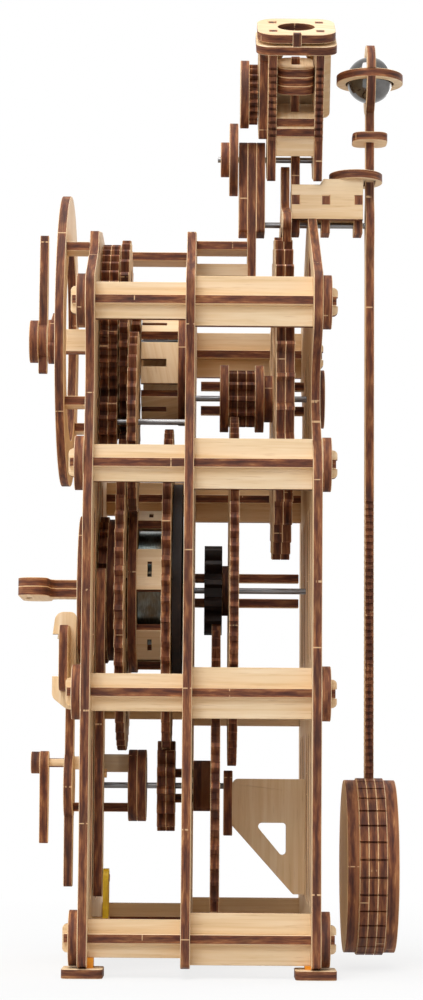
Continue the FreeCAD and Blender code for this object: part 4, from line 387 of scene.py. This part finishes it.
def dress(node):
    """A copy of a node with merged corners, flat faces, pale rims and its finishes."""
    source = frame["nodes"][node].data
    draw = random.Random(node)
    made = bmesh.new()
    number = made.faces.layers.int.new("solid")
    sheets, slots = [], []
    for i, (first, last) in enumerate(solids_of(source)):
        corner, faces = {}, []
        for face in source.polygons[first:last]:
            keys = [key_of(source.vertices[v].co) for v in face.vertices]
            if len(set(keys)) < 3:
                continue
            for key, v in zip(keys, face.vertices):
                if key not in corner:
                    corner[key] = made.verts.new(source.vertices[v].co)
            faces.append(made.faces.new([corner[key] for key in keys]))
        made.normal_update()
        normal = Vector(PEG_NORMAL.get((node, i)) or sheet_normal(faces))
        points = [v.co for v in corner.values()]
        along, across = grain_of(points, normal, draw)
        kind = OTHER_FINISH.get((node, i), "wood")
        for face_material in finish[kind]:
            if face_material not in slots:
                slots.append(face_material)
        sheets.append((normal, along, across, min(p.dot(normal) for p in points),
                       Vector([draw.uniform(-1.2, 1.2) for _ in range(3)])))
        for face in faces:
            face[number] = i
            flat = abs(face.normal.dot(normal)) > FLAT
            face.material_index = slots.index(finish[kind][0 if flat else 1])
    mesh = bpy.data.meshes.new(node + "_piece")
    made.to_mesh(mesh)
    made.free()
    for material in slots:
        mesh.materials.append(material)
    piece = bpy.data.objects.new(node + "_piece", mesh)
    bpy.context.scene.collection.objects.link(piece)
    only(piece)
    bpy.ops.object.mode_set(mode="EDIT")
    bpy.ops.mesh.select_all(action="SELECT")
    bpy.ops.mesh.dissolve_limited(angle_limit=math.radians(0.6), delimit={"MATERIAL"})
    bpy.ops.object.mode_set(mode="OBJECT")
    if finish["wood"][1] in slots:
        raise_rims(piece, slots.index(finish["wood"][0]), slots.index(finish["wood"][1]))
    mark_sheets(mesh, sheets)
    only(piece)
    bpy.ops.object.shade_smooth_by_angle(angle=math.radians(28))
    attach(piece, body_of_node[node])
    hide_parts(node)
    return piece


def raise_rims(piece, face_slot, edge_slot):
    """A narrow pale bevel wherever a sheet's face meets its burnt edge."""
    only(piece)
    bpy.ops.object.mode_set(mode="EDIT")
    bpy.ops.mesh.select_mode(type="EDGE")
    bpy.ops.mesh.select_all(action="DESELECT")
    made = bmesh.from_edit_mesh(piece.data)
    for edge in made.edges:
        if {f.material_index for f in edge.link_faces} == {face_slot, edge_slot}:
            edge.select_set(True)
    bmesh.update_edit_mesh(piece.data)
    bpy.ops.mesh.bevel(offset_type="OFFSET", offset=RIM, segments=1, profile=0.5, affect="EDGES",
                       clamp_overlap=False, material=face_slot)
    bpy.ops.object.mode_set(mode="OBJECT")


def mark_sheets(mesh, sheets):
    """Stores each point's place along the grain, across it and through the sheet."""
    solid_of = mesh.attributes["solid"].data
    places = np.zeros((len(mesh.vertices), 3), np.float32)
    for face in mesh.polygons:
        normal, along, across, lowest, shift = sheets[solid_of[face.index].value]
        for v in face.vertices:
            co = mesh.vertices[v].co
            places[v] = (co.dot(along) + shift.x, co.dot(across) + shift.y, co.dot(normal) - lowest)
    sheet = mesh.attributes.new("sheet", "FLOAT_VECTOR", "POINT")
    sheet.data.foreach_set("vector", places.ravel())


pieces = {node: dress(node) for node in frame["nodes"]}


# Numerals and minute marks burnt into the dial

dial_low, dial_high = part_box("dial_ring")
dial_centre = (dial_low + dial_high) / 2
DIAL_R = (dial_high.x - dial_low.x) / 2
NUMERAL_R = DIAL_R - 8.2 * MM
MARK_HIGH = 0.04 * MM      # how far a mark stands off, just enough to show


def on_dial(obj, name):
    """Finishes one mark on the dial's front."""
    obj.name = name
    only(obj)
    bpy.ops.object.convert(target="MESH")
    bpy.ops.object.transform_apply(location=True, rotation=True, scale=True)
    obj.data.materials.clear()
    obj.data.materials.append(engraved)
    return obj


numerals = []
for hour in range(1, 13):
    a = math.radians(30 * hour)
    spot = (dial_centre.x + NUMERAL_R * math.sin(a), dial_low.y - MARK_HIGH / 2,
            dial_centre.z + NUMERAL_R * math.cos(a))
    bpy.ops.object.select_all(action="DESELECT")
    bpy.ops.object.text_add(location=spot, rotation=(math.pi / 2, 0, 0))
    text = bpy.context.object
    text.data.body = str(hour)
    text.data.size = 7.6 * MM
    text.data.align_x = "CENTER"
    text.data.align_y = "CENTER"
    text.data.extrude = MARK_HIGH
    numerals.append(on_dial(text, "numeral_%d" % hour))
dial_axis = Matrix.Translation((dial_centre.x, 0, dial_centre.z))
ticks = []
for minutes, wide, long in ((range(0, 60, 5), 0.8, 2.4), ([m for m in range(60) if m % 5], 0.4, 1.4)):
    r = DIAL_R - (1.1 + long / 2) * MM
    bpy.ops.object.select_all(action="DESELECT")
    bpy.ops.mesh.primitive_cube_add(size=1, location=(dial_centre.x, dial_low.y, dial_centre.z + r),
                                    scale=(wide * MM, 2 * MARK_HIGH, long * MM))
    tick = on_dial(bpy.context.object, "tick")
    bpy.ops.object.mode_set(mode="EDIT")
    bpy.ops.mesh.select_mode(type="EDGE")
    bpy.ops.mesh.select_all(action="DESELECT")
    made = bmesh.from_edit_mesh(tick.data)
    for edge in made.edges:
        edge.select_set(abs(edge.verts[0].co.y - edge.verts[1].co.y) > MARK_HIGH)
    bmesh.update_edit_mesh(tick.data)
    bpy.ops.mesh.bevel(offset=wide * 0.45 * MM, segments=3, affect="EDGES")
    bpy.ops.object.mode_set(mode="OBJECT")
    copies = [tick]
    for _ in minutes[1:]:
        copies.append(tick.copy())
        copies[-1].data = tick.data.copy()
        bpy.context.scene.collection.objects.link(copies[-1])
    for minute, copy in zip(minutes, copies):
        turned = Matrix.Rotation(math.radians(6 * minute), 4, "Y")
        copy.data.transform(dial_axis @ turned @ dial_axis.inverted())
    ticks += copies
only(*numerals)
bpy.ops.object.join()
numerals[0].name = "dial_numerals"
only(*ticks)
bpy.ops.object.join()
ticks[0].name = "minute_marks"
for mark in (numerals[0], ticks[0]):
    bpy.ops.object.select_all(action="DESELECT")
    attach(mark, "frame")

# Floor, light and camera

bpy.ops.object.select_all(action="DESELECT")
bpy.ops.mesh.primitive_plane_add(size=6, location=(0, 0, 0))
floor = bpy.context.object
floor.name = "floor"
# The floor and what is behind it look white, and near the object the floor keeps its shadow
floor_paint, tree, shader = new_material("white_floor", roughness=0.9)
shader.inputs["Base Color"].default_value = linear("#D8D8D8")
rays = add(tree, "LightPath")
seen = add(tree, "Math", {"operation": "MAXIMUM"}, _0=rays.outputs["Is Camera Ray"],
           _1=rays.outputs["Is Glossy Ray"])
place = add(tree, "TexCoord").outputs["Object"]
far = add(tree, "VectorMath", {"operation": "LENGTH"}, _0=place).outputs["Value"]
white = add(tree, "MapRange", {"From Min": 0.12, "From Max": 0.5, "To Min": 0.8, "To Max": 1.0},
            Value=far)
share = add(tree, "Math", {"operation": "MULTIPLY"}, _0=seen, _1=white)
glow = add(tree, "Emission", {"Color": (1, 1, 1, 1), "Strength": 1.0})
both = add(tree, "MixShader", None, _0=share, _1=shader, _2=glow)
tree.links.new(out_of(both), tree.nodes["Material Output"].inputs["Surface"])
floor.data.materials.append(floor_paint)

world = bpy.data.worlds.new("studio")
bpy.context.scene.world = world
world.use_nodes = True
tree = world.node_tree
sky = tree.nodes["Background"]
rays = add(tree, "LightPath")
seen = add(tree, "Math", {"operation": "MAXIMUM"}, _0=rays.outputs["Is Camera Ray"],
           _1=rays.outputs["Is Glossy Ray"])
level = add(tree, "MapRange", {"To Min": 0.4, "To Max": 1.0}, Value=seen)
tree.links.new(out_of(level), sky.inputs["Strength"])
sky.inputs["Color"].default_value = (1, 1, 1, 1)


def lamp(name, place, aim, size, power):
    """A soft square lamp that looks from its place towards aim."""
    bpy.ops.object.light_add(type="AREA", location=place)
    light = bpy.context.object
    light.name = name
    light.data.size = size
    light.data.energy = power
    light.rotation_euler = (Vector(aim) - Vector(place)).to_track_quat("-Z", "Y").to_euler()
    return light


lamp("overhead", (0.35, -0.15, 1.3), (0, 0, 0.15), 0.7, 9.5)
lamp("camera_side", (1.1, -0.35, 0.9), (0, 0, 0.15), 0.6, 7.5)
lamp("back_fill", (-0.9, 0.7, 0.6), (0, 0, 0.15), 0.8, 5.0)
lamp("dial_side", (-0.2, -1.2, 0.7), (0, 0, 0.15), 0.8, 5.0)

PITCH = math.radians(6.03)
ROLL = math.radians(0.44)
bpy.ops.object.camera_add(location=(0.900, -0.0003, 0.062))
camera = bpy.context.object
camera.data.sensor_fit = "VERTICAL"
camera.data.sensor_height = 24.0
camera.data.lens = 63.6
turn = Matrix.Rotation(math.pi / 2, 3, "Z") @ Matrix.Rotation(math.pi / 2 + PITCH, 3, "X")
camera.rotation_euler = (turn @ Matrix.Rotation(ROLL, 3, "Z")).to_euler()
camera.data.clip_start = 0.01
bpy.context.scene.camera = camera
bpy.context.scene.view_settings.view_transform = "Standard"
